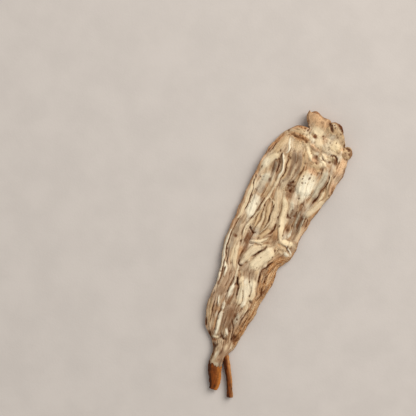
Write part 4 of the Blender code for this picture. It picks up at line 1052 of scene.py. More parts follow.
    def _lay(self, strand: Strand, number: float, strength: float, places: tuple[Array, Array],
             layers: tuple[Array, Array, Array]) -> None:
        """Lay one strand on the face, where it is higher than what lies there already.

        Its section is the root of 1 less the offset squared, leaning to one side, with a wavy edge,
        and it sinks and narrows towards both ends. Its colour darkens and warms down its sides, a
        painted shade. Where it meets a neighbour of much the same height, the crease between them is
        partly filled.

        Args:
            strand: The strand.
            number: A number of its own, which sets its fibres apart.
            strength: How much of its own colour it brings.
            places: The places across the slice and along it.
            layers: Heights, colours and fibre coordinates so far, all changed in place.
        """
        raised, tint, fibre = layers
        near, signed, along, length = self._nearest(strand.path, 1.7 * strand.half_width, *places)
        taper = smooth_step(np.minimum(along, length - along), -0.7, min(self.end_taper, 0.3 * length))
        wavy = 0.7 + 0.6 * GRAIN.layered(along * 0.2, number * 5.3, octaves=2)
        swell = 0.7 + 0.6 * GRAIN.layered(along * 0.16, number * 7.7, octaves=2)
        offset = signed / (strand.half_width * wavy * (0.45 + 0.55 * taper))
        spread = np.abs(offset)
        lean = 1.0 + self.lean * math.sin(2.4 * number) * np.clip(offset, -1.0, 1.0)
        fullness = 0.5 + 0.4 * max(0.0, 1.6 - strand.crest)
        section = (1.0 - np.minimum(spread, 1.0) ** 2) ** fullness
        height = strand.crest * (0.25 + 0.75 * taper) * lean * swell * section
        here = raised[near]
        top = height > here
        fill = self.crease_fill * strand.crest
        filling = np.clip(fill - np.abs(height - here), 0.0, None) ** 2 / (4.0 * fill)
        raised[near] = np.maximum(height, here) + filling * (spread < 1.0)
        soft = smooth_step(spread, 1.3, 0.5) * np.where(top | (spread > 1.0), 1.0, 0.2)
        soft *= strength * (0.3 + 0.7 * taper)
        mottled = 0.8 + 0.36 * GRAIN.layered(signed * 0.6, along * 0.14, number)
        # Painted shade down the strand's sides, warmed toward brown.
        side = np.array(self.side_shade) * np.clip(spread, 0.0, 1.3)[:, None] ** 3
        tint[near] = blend(tint[near], strand.tone.linear * mottled[:, None] * (1.0 - side), soft)
        fibre[near] = np.where(top[:, None], joined(signed, along, 50.0 + number * 2.9), fibre[near])

    @staticmethod
    def _mottled(patches: tuple[Mottle, ...], tint: Array, x: Array, y: Array) -> Array:
        """The colours with each kind of patch over them in turn."""
        return functools.reduce(lambda below, patch: patch.over(below, x, y), patches, tint)

    def _ground_tint(self, x: Array, y: Array, crown: Array) -> Array:
        """Colour between the strands: tan and grey in slow patches, paler in the crown.

        Args:
            x: Places across the slice.
            y: Places along it.
            crown: How far each place belongs to the crown, from 0 to 1.

        Returns:
            The colours.
        """
        tint = self._mottled(self.ground, TAN.linear, x, y)
        tint = blend(tint, DUN.linear, 0.7 * smooth_step(y, 6.0, -8.0))
        crown_tint = blend(BEIGE.linear, CREAM.linear, GRAIN.layered(x / 2.6, y / 2.6))
        return blend(tint, self._mottled(self.crown_ground, crown_tint, x, y), crown)

    def _fibre_noise(self, fibre: Array) -> Array:
        """Relief of single fibres: noise stretched along the strand, at two widths.

        Args:
            fibre: The fibre coordinates.

        Returns:
            The relief in millimetres.
        """
        across, along, number = np.moveaxis(fibre, -1, 0)
        coarse = GRAIN.at(across * 1.15, along * 0.12, number) - 0.5
        fine = GRAIN.at(across * 2.6, along * 0.35, number + 31.0) - 0.5
        return self.fibre_relief * coarse + self.fine_relief * fine

    def _bark(self, x: Array, y: Array) -> Array:
        """Share of bark: right of its wandering inner edge, and thinly along the worn rims.

        Args:
            x: Places across the slice.
            y: Places along it.

        Returns:
            The share, from 0 to 1.
        """
        wander = (GRAIN.layered(x / 1.7, y / 3.1) - 0.5) * 2.6
        bark = smooth_step(x - np.interp(y, BARK_EDGE[::2], BARK_EDGE[1::2]) + wander, *self.bark_blur)
        bark *= smooth_step(y + wander, *BARK_END)
        rim = smooth_step(self.form.rim_distance(x, y) + wander * 0.4, self.rim_bark_width, 0.0)
        worn = np.maximum(smooth_step(x, -4.0, 4.0), smooth_step(y, 50.0, 56.0))
        return np.clip(bark + self.rim_bark * rim * worn, 0.0, 1.0)


def sunk_below(height: Array, rows: int, columns: int) -> Array:
    """How far each place of a grid lies below the mean around it.

    Args:
        height: Heights on the grid.
        rows: Half the window along the first axis.
        columns: Half the window along the second axis.

    Returns:
        The box mean, from differences of running sums, less the height.
    """
    mean = height
    for axis, reach in ((0, rows), (1, columns)):
        pad = [(0, 0), (0, 0)]
        pad[axis] = (reach + 1, reach)
        sums = np.cumsum(np.pad(mean, pad, mode="edge"), axis=axis)
        ahead = np.take(sums, np.arange(2 * reach + 1, sums.shape[axis]), axis=axis)
        behind = np.take(sums, np.arange(0, sums.shape[axis] - 2 * reach - 1), axis=axis)
        mean = (ahead - behind) / (2 * reach + 1)
    return mean - height


class Wire:
    """A number carried by a shader socket. Arithmetic on it adds Math nodes."""

    def __init__(self, graph: "Graph", socket: bpy.types.NodeSocket) -> None:
        """Wrap an output socket of the graph."""
        self.graph = graph
        self.socket = socket

    def _math(self, operation: str, *values: Any) -> "Wire":
        """A Math node of the operation on the values, in that order."""
        return self.graph.wire("ShaderNodeMath", {"operation": operation}, dict(enumerate(values)))

    def __add__(self, other: Any) -> "Wire":
        """Sum."""
        return self._math("ADD", self, other)

    __radd__ = __add__

    def __rsub__(self, other: Any) -> "Wire":
        """Difference from a number on the left."""
        return self._math("SUBTRACT", other, self)

    def __mul__(self, other: Any) -> "Wire":
        """Product."""
        return self._math("MULTIPLY", self, other)

    __rmul__ = __mul__

    def over(self, low: float, high: float) -> "Wire":
        """0 below low and 1 above high, with a smooth step between; high may be the smaller."""
        return self.graph.wire("ShaderNodeMapRange", {"interpolation_type": "SMOOTHSTEP"},
                               {0: self, 1: low, 2: high})


class Graph:
    """A material's node tree."""

    def __init__(self, name: str) -> None:
        """Make the material.

        Args:
            name: The material's name.
        """
        self.material = bpy.data.materials.new(name)
        self.material.use_nodes = True
        self.tree = self.material.node_tree
        self.shader = self.tree.nodes["Principled BSDF"]

    def node(self, kind: str, settings: dict[str, Any], sockets: dict[Any, Any]) -> bpy.types.Node:
        """Add a node.

        Args:
            kind: The node's type.
            settings: Its properties, set first.
            sockets: Its inputs by name or number, each a value, a Wire or an output socket.

        Returns:
            The node.
        """
        made = self.tree.nodes.new(kind)
        for name, value in settings.items():
            setattr(made, name, value)
        for key, value in sockets.items():
            self.put(made.inputs[key], value)
        return made

    def wire(self, kind: str, settings: dict[str, Any], sockets: dict[Any, Any]) -> Wire:
        """Add a node as node() does, and carry its first output on."""
        return Wire(self, self.node(kind, settings, sockets).outputs[0])

    def put(self, target: bpy.types.NodeSocket, value: Any) -> None:
        """Set an input or link it.

        Args:
            target: The input.
            value: A value to set, or a Wire or a socket to link.
        """
        source = value.socket if isinstance(value, Wire) else value
        if isinstance(source, bpy.types.NodeSocket):
            self.tree.links.new(source, target)
        else:
            target.default_value = source

    def position(self) -> Wire:
        """Object coordinates in millimetres."""
        place = self.node("ShaderNodeTexCoord", {}, {}).outputs["Object"]
        return self.wire("ShaderNodeVectorMath", {"operation": "SCALE"}, {"Vector": place, "Scale": 1.0 / MM})

    def attribute(self, name: str, output: str) -> bpy.types.NodeSocket:
        """An attribute of the mesh, as its Color or its Vector output."""
        return self.node("ShaderNodeAttribute", {"attribute_name": name}, {}).outputs[output]

    def channels(self, name: str) -> tuple[Wire, Wire, Wire]:
        """The three numbers of a colour attribute."""
        split = self.node("ShaderNodeSeparateColor", {}, {0: self.attribute(name, "Color")})
        return tuple(Wire(self, output) for output in split.outputs[:3])

    def noise(self, vector: Any, scale: float | tuple[float, float, float], detail: float = 3.0,
              rough: float = 0.55) -> Wire:
        """Noise from 0 to 1.

        Args:
            vector: Where to read it.
            scale: What the vector is multiplied by: one rate, or one for each axis.
            detail: How many finer layers it has.
            rough: How strong they are.

        Returns:
            The noise.
        """
        if isinstance(scale, tuple):
            vector = self.wire("ShaderNodeVectorMath", {"operation": "MULTIPLY"}, {0: vector, 1: scale})
            scale = 1.0
        return self.wire("ShaderNodeTexNoise", {},
                         {"Vector": vector, "Scale": scale, "Detail": detail, "Roughness": rough})

    def mix(self, factor: Any, below: Any, above: Any, mode: str = "MIX") -> bpy.types.NodeSocket:
        """Two colours mixed by a factor, which the node holds between 0 and 1."""
        settings = {"data_type": "RGBA", "blend_type": mode}
        return self.node("ShaderNodeMix", settings, {0: factor, 6: below, 7: above}).outputs[2]

    def coats(self, colour: Any, *layers: tuple[Any, Tone]) -> Any:
        """Lay tones over a colour in turn.

        Args:
            colour: The colour below them.
            layers: The factor and the tone of each layer, the lowest first.

        Returns:
            The colour with all of them.
        """
        for factor, tone in layers:
            colour = self.mix(factor, colour, tone.rgba)
        return colour

    def finish(self, colour: Any, roughness: Wire, height: Wire, depth: float) -> bpy.types.Material:
        """Feed the shader.

        Args:
            colour: The base colour.
            roughness: The roughness.
            height: Fine relief from 0 to 1.
            depth: What a height of 1 stands for, in millimetres.

        Returns:
            The finished material.
        """
        bump = self.wire("ShaderNodeBump", {}, {"Height": height, "Distance": depth * MM, "Strength": 1.0})
        for name, value in (("Base Color", colour), ("Roughness", roughness), ("Normal", bump),
                            ("Specular IOR Level", SPECULAR)):
            self.put(self.shader.inputs[name], value)
        return self.material


@dataclass(frozen=True)
class FleshFinish:
    """Finish of the cut face: dry fibrous flesh, brown with painted shade in its furrows and crevices, white
    on its crests as a painted highlight, with bark along its rims.
    """

    name: str = "dried_flesh"
    streak: float = 0.29
    # Laid where the face lies low: brown colour together with painted shade in the hollows.
    furrow: Tone = BROWN
    # Laid in crevices and pits: brown colour with painted shade.
    brim: Tone = SIENNA
    deep: Tone = DARK
    bump_depth: float = 0.3

    def material(self) -> bpy.types.Material:
        """Make the material.

        The tint of each place is streaked along its fibres, browned where it lies low as painted shade
        with brown colour, blackened in crevices as painted shade with brown colour, whitened on crests
        as a painted highlight, speckled by grain and covered by bark where the mesh says so.

        Returns:
            The material.
        """
        graph = Graph(self.name)
        place = graph.position()
        fibre = graph.attribute("fibre", "Vector")
        # The first channel of wear is painted shade in hollows; bark and grain are the slice's own colours.
        low, bark, grain = graph.channels("wear")
        # crest marks places that lie high, whitened below as a painted highlight.
        dark, crest, under = graph.channels("relief")
        broad = graph.noise(fibre, (1.3, 0.06, 1.0))
        narrow = graph.noise(fibre, (4.6, 0.16, 1.0), 4.0)
        hair = graph.noise(fibre, (9.0, 0.3, 1.0), 2.0)
        mottle = graph.noise(place, 0.55, 4.0)
        speck = graph.noise(place, 1.5, 4.0, 0.7)
        patchy = graph.noise(place, (0.2, 0.11, 0.2), 4.0, 0.6)
        patches = graph.noise(place, (0.55, 0.24, 0.55), 5.0, 0.6)
        tint = graph.attribute("tint", "Color")
        clean = graph.wire("ShaderNodeRGBToBW", {}, {0: tint}).over(0.42, 0.72)
        light = (1.0 - self.streak) + 2.0 * self.streak * (0.55 * narrow + 0.45 * broad)
        grey = graph.wire("ShaderNodeCombineColor", {}, {0: light, 1: light, 2: light})
        # Brown fibres kept off the crests, furrow brown in hollows as painted shade with brown colour, and
        # white hairs on crests as a painted highlight.
        flesh = graph.coats(
            graph.mix(1.0, tint, grey, "MULTIPLY"),
            (narrow.over(0.56, 0.7) * (1.0 - 0.6 * crest) * (0.15 + 0.75 * mottle) * (1.0 - 0.65 * clean),
             BROWN),
            (low * (0.25 + 0.8 * patchy.over(0.36, 0.6)), self.furrow),
            (hair.over(0.5, 0.72) * crest * 0.6, WHITE))
        skin = graph.coats(
            graph.mix(patches.over(0.46, 0.56), BARK.rgba, BROWN.rgba),
            (broad.over(0.5, 0.6) * 0.75, BEIGE), (narrow.over(0.53, 0.64) * 0.8, PALE),
            (narrow.over(0.48, 0.38) * 0.85, SIENNA), (speck.over(0.53, 0.64) * 0.75, SIENNA))
        # Brim and deep tones darken crevices and pits as painted shade with brown colour.
        colour = graph.coats(
            graph.mix(bark * (0.55 + 0.6 * mottle), flesh, skin),
            (speck.over(0.5, 0.66) * grain * (1.0 - 0.6 * clean) * 0.9, SIENNA),
            (dark.over(0.05, 0.6) * (0.6 + 0.5 * speck), self.brim), (dark.over(0.4, 1.0) * 0.9, self.deep))
        under_skin = graph.coats(
            graph.mix(mottle.over(0.35, 0.65), TAN.rgba, BARK.rgba),
            (broad.over(0.5, 0.35) * 0.7, BROWN), (narrow.over(0.55, 0.7) * 0.7, UMBER))
        colour = graph.mix(under * 0.75, colour, under_skin)
        height = 0.5 * narrow + 0.3 * hair + 0.2 * speck
        return graph.finish(colour, 0.62 + 0.22 * narrow + 0.1 * low, height, self.bump_depth)


@dataclass(frozen=True)
class RootletFinish:
    """Finish of a rootlet: brown wrinkled skin, darker in its wrinkles and on its shaded side as painted
    shade, with paler ridges on its lit side as a painted highlight.
    """

    name: str
    # The tone of the side towards the light: a painted highlight.
    worn: Tone
    skin: Tone = ORANGE
    # Laid in wrinkles and cracks, and on the side away from the light as painted shade.
    wrinkle_and_shade: Tone = DARK
    bump_depth: float = 0.2

    def material(self) -> bpy.types.Material:
        """Make the material: skin streaked along the rootlet, with dark wrinkles and cross cracks, painted
        shade on its shaded side and a painted highlight on its lit side.

        Returns:
            The material.
        """
        graph = Graph(self.name)
        fibre = graph.attribute("fibre", "Vector")
        # low is painted shade in the wrinkles and on the side away from the light, side is the lit side for
        # the painted highlight, cut is the cut end.
        low, cut, side = graph.channels("wear")
        streaks = graph.noise(fibre, (1.4, 0.16, 1.0), 4.0)
        fine = graph.noise(fibre, (5.0, 0.7, 1.0), 4.0)
        cracks = graph.noise(fibre, (0.7, 2.4, 1.0))
        colour = graph.coats(
            graph.mix(streaks.over(0.35, 0.65), self.skin.rgba, SIENNA.rgba),
            (side * (0.5 + 0.8 * fine), self.worn), (low * (0.5 + 0.7 * fine), self.wrinkle_and_shade),
            (cracks.over(0.66, 0.76) * 0.6, self.wrinkle_and_shade))
        colour = graph.mix(cut, colour, graph.mix(fine.over(0.4, 0.6), TAN.rgba, BROWN.rgba))
        return graph.finish(colour, 0.5 + 0.3 * fine, 0.6 * fine + 0.4 * cracks, self.bump_depth)


def with_poles(grid: Array) -> Array:
    """The grid's places in one list, with the means of its first and last ring at the end."""
    return np.vstack([grid.reshape(-1, grid.shape[-1]), grid[[0, -1]].mean(axis=1)])


def closed_surface(name: str, rings: Array, material: bpy.types.Material, fibre: Array,
                   **colours: Array) -> bpy.types.Object:
    """A piece from a grid of rings: quads between neighbouring rings, and a fan to a pole at each end.

    Args:
        name: Its name.
        rings: Points in millimetres as (ring, place round the ring, xyz), each ring running
            anticlockwise seen from where the rings run to.
        material: Its material.
        fibre: Fibre coordinates, three numbers for each point.
        colours: Colour attributes by name, each with three numbers for each point.

    Returns:
        The piece, smooth and at the origin, parented to its body, with the CAD part it stands for hidden.
    """
    count, around = rings.shape[:2]
    index = np.arange(count * around).reshape(count, around)
    beside = np.roll(index, -1, axis=1)
    quads = np.stack([index[:-1], beside[:-1], beside[1:], index[1:]], axis=-1).reshape(-1, 4)
    start = np.stack([beside[0], index[0], np.full(around, count * around)], axis=-1)
    end = np.stack([index[-1], beside[-1], np.full(around, count * around + 1)], axis=-1)
    mesh = bpy.data.meshes.new(name)
    mesh.from_pydata(with_poles(rings) * MM, [], quads.tolist() + start.tolist() + end.tolist())
    layer = mesh.attributes.new("fibre", "FLOAT_VECTOR", "POINT")
    layer.data.foreach_set("vector", with_poles(fibre).ravel())
    for part, values in colours.items():
        opaque = with_poles(np.insert(values, 3, 1.0, axis=-1))
        layer = mesh.attributes.new(part, "FLOAT_COLOR", "POINT")
        layer.data.foreach_set("color", opaque.ravel())
    mesh.shade_smooth()
    mesh.materials.append(material)
    piece = add_object(name, mesh)
    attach(piece, BODY)
    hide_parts(NODE)
    LOG.info("%s: %d vertices, %d faces", piece.name, len(mesh.vertices), len(mesh.polygons))
    return piece


@dataclass(frozen=True)
class SliceBody:
    """The slice's sheet, as one closed surface round its cut face, rims and underside."""

    face: CutFace
    top_columns: int = 206
    wall_columns: int = 6
    under_columns: int = 56
    rows: int = 332
    cap_turns: tuple[float, ...] = (80.0, 62.0, 40.0, 18.0)
    rim_wrinkle: float = 0.8
    under_wrinkle: float = 0.35
    brightness: tuple[float, float, float] = (0.3, 0.6, 0.1)

    def build(self, material: bpy.types.Material) -> bpy.types.Object:
        """Make the piece.

        Every ring goes over the cut face from left to right, down the right rim, back along the
        underside and up the left rim. The first and last rings shrink onto a rounded end.

        Args:
            material: The finish.

        Returns:
            The piece.
        """
        form = self.face.form
        across, layer, outward = self._ring()
        y_row, squeeze = self._rows(form)
        y = np.broadcast_to(y_row[:, None], (len(y_row), len(across))).copy()
        left, right = form.edges(y)
        inset = form.rim_rounding * (1.0 - outward)
        x = left + inset + across * (right - left - 2.0 * inset)
        top = self.face.survey(x, y)
        low = form.underside(x, y)
        high = np.maximum(top.height, low + form.thinnest)
        z = low + layer * (high - low)
        under_relief = self.under_wrinkle * GRAIN.layered(x / 1.6, y / 3.4 + 40.0) * form.patch_freedom(x, y)
        x = x + outward * np.sign(across - 0.5) * self.rim_wrinkle * (GRAIN.layered(y / 4.6, z / 2.0) - 0.5)
        z = z + (layer < 0.01) * under_relief
        x, z = (part.mean(axis=1, keepdims=True) * (1.0 - squeeze[:, None]) + part * squeeze[:, None]
                for part in (x, z))
        # How low a place lies gives painted shade with brown colour in hollows; how high it lies gives a
        # painted highlight on crests.
        hollow_shade, crest = self._lie_of(top.height - form.warp(x, y))
        pale = smooth_step(top.tint @ np.array(self.brightness), 0.4, 0.7)
        under = smooth_step(layer, 0.6, 0.2)
        bark = np.clip(top.bark + 0.8 * outward + 0.5 * under, 0.0, 1.0)
        fibre = top.fibre.copy()
        fibre[..., 0] += (1.0 - layer) * (high - low)
        # wear carries the hollows' painted shade, weaker on pale flesh and none underneath, with bark and
        # grain.
        wear = joined(hollow_shade * (1.0 - 0.8 * pale) * (1.0 - under), bark, top.grain)
        # relief carries the darkness of crevices and pits, partly painted shade, the crest mask for the
        # painted highlight, and the underside.
        relief = joined(top.dark * (layer > 0.9), crest * (layer > 0.9), under)
        rings, fibre, tint, wear, relief = (
            part[:, ::-1] for part in (joined(x, y, z), fibre, top.tint, wear, relief))
        return closed_surface("slice_body", rings, material, fibre, tint=tint, wear=wear, relief=relief)

    def _ring(self) -> tuple[Array, Array, Array]:
        """Lay out one ring.

        Returns:
            The width fraction, the layer from underside to cut face, and the outward bulge.
        """
        t = np.linspace(0.0, 1.0, self.top_columns)
        turn = np.linspace(0.5, -0.5, self.wall_columns + 2)[1:-1] * np.pi
        under = np.linspace(1.0, 0.0, self.under_columns)
        top = (0.75 * t + 0.125 * (1.0 - np.cos(np.pi * t)), np.ones_like(t), np.zeros_like(t))
        right = (np.ones_like(turn), 0.5 + 0.5 * np.sin(turn), np.cos(turn))
        bottom = (under, np.zeros_like(under), np.zeros_like(under))
        left = (np.zeros_like(turn), 0.5 - 0.5 * np.sin(turn), np.cos(turn))
        return tuple(np.hstack([np.array(part) for part in (top, right, bottom, left)]))

    def _rows(self, form: SheetForm) -> tuple[Array, Array]:
        """Place the rings.

        Args:
            form: The sheet's form.

        Returns:
            The y of each ring, and how far it shrinks: the cosine of its turn round a rounded end.
        """
        turns = np.radians(self.cap_turns)
        reach = form.rim_rounding
        sunk = reach * (1.0 - np.sin(turns))
        middle = np.linspace(form.tail_end + reach, form.crown_end - reach, self.rows)
        squeeze = np.concatenate([np.cos(turns), np.ones(self.rows), np.cos(turns[::-1])])
        return np.concatenate([form.tail_end + sunk, middle, form.crown_end - sunk[::-1]]), squeeze

    @staticmethod
    def _lie_of(height: Array) -> tuple[Array, Array]:
        """Compare each place with its surroundings.

        Args:
            height: Heights on the grid.

        Returns:
            How low and how high each place lies, from 0 to 1.
        """
        wide, tight = sunk_below(height, 4, 8), sunk_below(height, 1, 3)
        low = np.clip(wide / 0.75, 0.0, 1.0) + 0.25 * np.clip(tight / 0.14, 0.0, 1.0)
        return np.clip(low, 0.0, 1.0), np.clip(-wide / 0.45, 0.0, 1.0)


@dataclass(frozen=True)
class CrownKnob:
    """A knob of the crown: a closed lump on its own outline, flattish on top, with steep sides."""

    name: str
    centre: tuple[float, float]
    low: float
    high: float
    outline: tuple[float, ...]
    tone: Tone
    bark: float
    edge_tone: Tone = BROWN
    rings: int = 110
    around: int = 210
    top_power: float = 0.6
    side_power: float = 0.72
    lump: float = 0.45
    ragged: float = 0.16
    edge_blend: float = 0.6
    edge_span: tuple[float, float] = (63.5, 67.0)
    merge_span: tuple[float, float] = (70.5, 63.6)
    skin_span: tuple[float, float] = (69.0, 65.0)
    face_end: float = 64.0
    sink: float = 0.6
    sink_rise: float = 0.75
    sink_span: tuple[float, float] = (61.2, 63.8)
    scar_height: float = 0.7
    scar_width: float = 0.8
    scar_core: float = 1.6
    ring_scar: tuple[float, float, float] | None = None
    joins_face: bool = True

    def build(self, face: CutFace, material: bpy.types.Material) -> bpy.types.Object:
        """Make the piece.

        A ball is carried onto the outline: the reach at each bearing times a power of the cosine of
        the latitude, and a height by a power of its sine. Noise wrinkles it. Towards the slice its
        top sinks into the cut face and takes on the face's colours.

        Args:
            face: The cut face.
            material: The finish.

        Returns:
            The piece.
        """
        outline = smooth_path(self.outline + self.outline[:2]) - np.array(self.centre)
        bearing = np.arctan2(outline[:, 1], outline[:, 0])
        order = np.argsort(bearing)
        lengths = np.hypot(outline[:, 0], outline[:, 1])[order]
        latitude = np.linspace(-0.497, 0.497, self.rings)[:, None] * np.pi
        turn = np.linspace(-np.pi, np.pi, self.around, endpoint=False)[None, :]
        outward = np.cos(latitude) ** self.side_power
        rugged = GRAIN.layered(4.0 * np.cos(turn) + 9.0, 4.0 * np.sin(turn), latitude * 2.4 + self.high)
        reach = np.interp(turn, bearing[order], lengths, period=2.0 * np.pi)
        reach = outward * reach * (1.0 + self.ragged * (rugged - 0.5))
        x, y = self.centre[0] + reach * np.cos(turn), self.centre[1] + reach * np.sin(turn)
        up = np.sin(latitude) + np.zeros_like(turn)
        rise = np.sign(up) * np.abs(up) ** self.top_power
        z = (self.low + self.high + rise * (self.high - self.low)) / 2.0
        on_top = smooth_step(up, -0.3, 0.5)
        noise = GRAIN.layered(x / 2.4 + 8.0, y / 3.2, z / 2.6, octaves=4) - 0.5
        depth, dark = face.cuts(x, y)
        z = z + (2.0 * self.lump * noise - 0.8 * depth) * on_top
        if self.ring_scar:
            scar_x, scar_y, scar_radius = self.ring_scar
            radius = np.hypot(x - scar_x, y - scar_y)
            ring = np.exp(-((radius - scar_radius) / self.scar_width) ** 2)
            ring -= np.exp(-(radius / self.scar_core) ** 2)
            z = z + self.scar_height * ring * on_top * smooth_step(noise, -0.15, 0.15)
        merged = smooth_step(y, *self.merge_span) * on_top * self.joins_face
        sunk = face.survey(x, np.minimum(y, self.face_end)).height - self.sink
        sunk += self.sink_rise * smooth_step(y, *self.sink_span)
        z = z + (sunk - z) * merged
        edge = smooth_step(outward + 0.3 * noise, 0.84, 1.0) * smooth_step(y, *self.edge_span)
        skin = self.tone.linear * (0.82 + 0.36 * GRAIN.layered(x / 1.1, y / 3.0 + 20.0))[..., None]
        skin = face.stained(x, y, blend(skin, self.edge_tone.linear, self.edge_blend * edge))
        near_face = smooth_step(y + 3.0 * noise, *self.skin_span) * self.joins_face
        # Painted shade with brown colour in the knob's hollows and in the recesses of its sides.
        low = np.clip(-noise * 2.4, 0.0, 0.7) + np.clip(1.28 * (0.5 - rugged), 0.0, 0.48) * (1.0 - on_top)
        bark = np.clip(self.bark * (1.0 - on_top + 0.45 * edge), 0.0, 1.0)
        slanted = x + (1.6 * z + 6.0 * noise) * (1.0 - merged)
        tint = blend(skin, face.survey(x, y).tint, near_face)
        wear = joined(low, bark, 0.4 + 0.3 * edge)
        # A steady crest mask on the knob's top whitens it as a painted highlight; crevice and pit darkness
        # there is partly painted shade.
        relief = joined(np.clip(dark, 0.0, 1.0) * on_top, 0.3 * on_top, smooth_step(up, -0.2, -0.7))
        return closed_surface(self.name, joined(x, y, z), material, joined(slanted, y + 3.0 * z, 70.0),
                              tint=tint, wear=wear, relief=relief)


@dataclass(frozen=True)
class Rootlet:
    """A rootlet: a wrinkled tube along its path of x, y, z and radius in turn, with a rounded cut end."""

    name: str
    path: tuple[float, ...]
    flatness: float
    ridges: int
    ridge_depth: float
    around: int = 84
    spacing: float = 0.16
    clearance: float = 0.1
    start_rounding: float = 1.2
    end_rounding: float = 0.5

    def build(self, material: bpy.types.Material) -> bpy.types.Object:
        """Make the piece.

        Each ring is a circle of the path's radius across the path, with lengthwise ridges from noise
        in its bearing and along the path. The last rings turn in over the cut end.

        Args:
            material: The finish.

        Returns:
            The piece.
        """
        route = smooth_path(self.path, steps=24, columns=4)
        run = np.concatenate([[0.0], np.cumsum(np.hypot(*np.diff(route[:, :2], axis=0).T))])
        along = np.arange(0.0, run[-1], self.spacing)[:, None]
        middle_x, middle_y, middle_z, radius = (np.interp(along, run, column) for column in route.T)
        ahead_x, ahead_y = np.gradient(middle_x, axis=0), np.gradient(middle_y, axis=0)
        size = np.hypot(ahead_x, ahead_y)
        left_over = run[-1] - along
        end_round = np.sqrt(1.0 - (1.0 - np.clip(left_over / self.end_rounding, 0.0, 1.0)) ** 2)
        start_round = np.sqrt(np.clip(along / self.start_rounding, 0.0, 1.0))
        turn = np.linspace(0.0, 2.0 * np.pi, self.around, endpoint=False)[None, :]
        cosine, sine = np.cos(turn), np.sin(turn)
        twisted, circle = turn + along * 0.05, self.ridges / (2.0 * np.pi)
        ridge = GRAIN.layered(np.cos(twisted) * circle + 5.0, np.sin(twisted) * circle, along * 0.11)
        knots = GRAIN.layered(cosine * 1.4, sine * 1.4, along * 0.3 + 9.0)
        creases = GRAIN.layered(cosine * 1.8, sine * 1.8, along * 0.9 + 31.0)
        relief = 1.0 + self.ridge_depth * (2.0 * ridge + knots + 1.4 * creases - 2.2)
        reach = radius * end_round * start_round * relief
        x = middle_x + ahead_y / size * reach * cosine
        y = middle_y - ahead_x / size * reach * cosine
        z = np.maximum(middle_z + reach * sine * self.flatness, self.clearance)
        # Painted shade: dark in the wrinkles and creases, and on the side turned away from the light.
        low = np.clip((1.0 - ridge - creases) * 2.4 + 0.5 * smooth_step(cosine, 0.0, 0.8), 0.0, 1.0)
        cut = smooth_step(left_over, 0.35, 0.1)
        # The side turned towards the light, which gets the paler tone as a painted highlight.
        side = smooth_step(-cosine + 0.8 * (ridge - 0.5), 0.0, 0.9)
        fibre = joined(np.abs(turn - np.pi) * radius, along, 90.0)
        wear = joined(low * (1.0 - cut), cut, side)
        return closed_surface(self.name, joined(x, y, z), material, fibre, wear=wear)


@dataclass(frozen=True)
class Studio:
    """Plain floor, soft light and the camera, whose scale holds at the middle height."""

    key_power: float = 21.5
    key_size: float = 1.1
    key_distance: float = 1.5
    key_height_angle: float = 44.0
    key_bearing: float = 70.0
    key_colour: tuple[float, float, float] = (1.0, 0.975, 0.94)
    sky_colour: tuple[float, float, float, float] = (1.0, 0.985, 0.96, 1.0)
    sky_strength: float = 0.48
    floor_colour: tuple[float, float, float] = (0.58, 0.53, 0.49)
    floor_mottle: float = 0.03
    floor_reach: float = 3.0
    floor_drop: float = 0.06
    middle_height: float = 4.0

    def set_up(self) -> None:
        """Make the floor, the lights, the sky and the camera."""
        for make in (self._floor, self._key_light, self._sky, self._camera):
            make()
        bpy.context.scene.view_settings.view_transform = "Standard"

    def _floor(self) -> None:
        """A plain pale floor, just under the slice."""
        mesh = bpy.data.meshes.new("floor")
        corners = [(x * self.floor_reach, y * self.floor_reach, -self.floor_drop * MM)
                   for x, y in ((-1, -1), (1, -1), (1, 1), (-1, 1))]
        mesh.from_pydata(corners, [], [(0, 1, 2, 3)])
        graph = Graph("floor_plaster")
        place = graph.position()
        mottle = graph.noise(place, 0.05)
        low, high = (tuple(part * level for part in self.floor_colour) + (1.0,)
                     for level in (1.0 - self.floor_mottle, 1.0 + self.floor_mottle))
        colour = graph.mix(mottle.over(0.3, 0.7), low, high)
        mesh.materials.append(graph.finish(colour, 0.85 + 0.1 * mottle, graph.noise(place, 0.9, 4.0), 0.05))
        add_object("floor", mesh)

    def _key_light(self) -> None:
        """A large soft light from beyond the crown, to the photograph's upper right."""
        light = bpy.data.lights.new("key", "AREA")
        light.energy, light.size, light.color = self.key_power, self.key_size, self.key_colour
        height, bearing = math.radians(self.key_height_angle), math.radians(self.key_bearing)
        flat, rise = self.key_distance * math.cos(height), self.key_distance * math.sin(height)
        obj = add_object("key", light)
        obj.location = (flat * math.cos(bearing), flat * math.sin(bearing), rise)
        obj.rotation_euler = (0.0, math.pi / 2.0 - height, bearing)

    def _sky(self) -> None:
        """Even light from all round."""
        world = bpy.data.worlds.new("sky")
        world.use_nodes = True
        background = world.node_tree.nodes["Background"]
        background.inputs["Color"].default_value = self.sky_colour
        background.inputs["Strength"].default_value = self.sky_strength
        bpy.context.scene.world = world

    def _camera(self) -> None:
        """A camera straight above the photograph's middle, turned as the photograph is."""
        camera = bpy.data.cameras.new("camera")
        camera.sensor_width = SENSOR_WIDTH
        camera.lens = SENSOR_WIDTH * CAMERA_HEIGHT / (PHOTO_PIXELS * MM_PER_PIXEL)
        camera.clip_start, camera.clip_end = CLIP_RANGE
        obj = add_object("camera", camera)
        obj.location = (PHOTO_MIDDLE[0] * MM, PHOTO_MIDDLE[1] * MM, (CAMERA_HEIGHT + self.middle_height) * MM)
        obj.rotation_euler = (0.0, 0.0, math.radians(PHOTO_TURN))
        bpy.context.scene.camera = obj


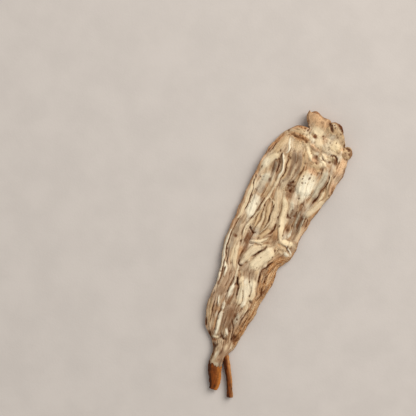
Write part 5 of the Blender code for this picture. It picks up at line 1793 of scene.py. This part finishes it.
KNOBS = (
    CrownKnob("tan_knob", (-3.0, 67.6), 0.5, 7.3, (
        -9.1, 73.3, -9.3, 71.0, -8.3, 68.6, -6.8, 66.6, -5.3, 65.0, -4.6, 61.5, -0.5, 60.0, 3.4, 62.5,
        4.2, 68.0, 3.3, 72.2, 0.6, 73.2, -1.0, 72.9, -2.8, 73.2, -4.2, 74.0, -5.8, 74.3, -7.2, 73.3,
        -8.1, 72.8), FAWN, 0.7),
    CrownKnob("ring_knob", (8.2, 67.0), 0.6, 8.6, (
        3.0, 71.9, 4.6, 73.0, 6.5, 73.4, 8.2, 73.2, 9.6, 72.3, 11.0, 70.2, 12.2, 68.2, 13.7, 66.2,
        14.8, 64.4, 14.6, 61.0, 8.0, 59.0, 3.0, 61.5, 2.0, 67.5), BEIGE, 0.8, ring_scar=(6.6, 69.6, 3.1)),
    CrownKnob("side_knob", (17.3, 61.9), 1.2, 6.2, (
        15.0, 64.4, 16.6, 65.0, 17.7, 64.9, 18.9, 64.0, 19.7, 62.6, 19.9, 61.0, 19.2, 59.4, 17.0, 58.4,
        14.6, 59.6, 14.2, 62.0), BEIGE, 0.5, around=120, rings=64, lump=0.35, joins_face=False),
)
# The second tone of each finish is laid on the rootlet's lit side as a painted highlight.
ROOTLETS = (
    (Rootlet("stub_rootlet", (
        2.2, -52.5, 1.9, 1.1, 2.3, -57.5, 2.4, 2.5, 3.0, -62.0, 2.5, 3.5, 5.0, -66.5, 2.4, 3.3,
        6.9, -70.5, 2.3, 2.7, 7.5, -73.9, 2.1, 2.1), 0.66, 12, 0.17), RootletFinish("stub_skin", AMBER)),
    (Rootlet("thin_rootlet", (
        3.0, -51.0, 2.0, 1.4, 4.9, -54.0, 1.9, 1.5, 6.2, -56.0, 1.8, 1.5, 8.2, -59.2, 1.8, 1.6,
        10.6, -62.6, 1.8, 1.55, 12.9, -66.2, 2.0, 1.5, 14.8, -69.6, 2.0, 1.5, 16.2, -72.2, 1.9, 1.6,
        16.9, -74.0, 1.9, 1.75), 0.86, 8, 0.2), RootletFinish("thin_skin", BARK)),
)


def main() -> None:
    """Build the studio and every piece of the slice."""
    logging.basicConfig(level=logging.INFO, format="%(message)s")
    Studio().set_up()
    form = SheetForm()
    face = CutFace(form, FineStrands(form).grow())
    flesh = FleshFinish().material()
    SliceBody(face).build(flesh)
    for knob in KNOBS:
        knob.build(face, flesh)
    for rootlet, skin in ROOTLETS:
        rootlet.build(skin.material())


if __name__ == "__main__":
    main()
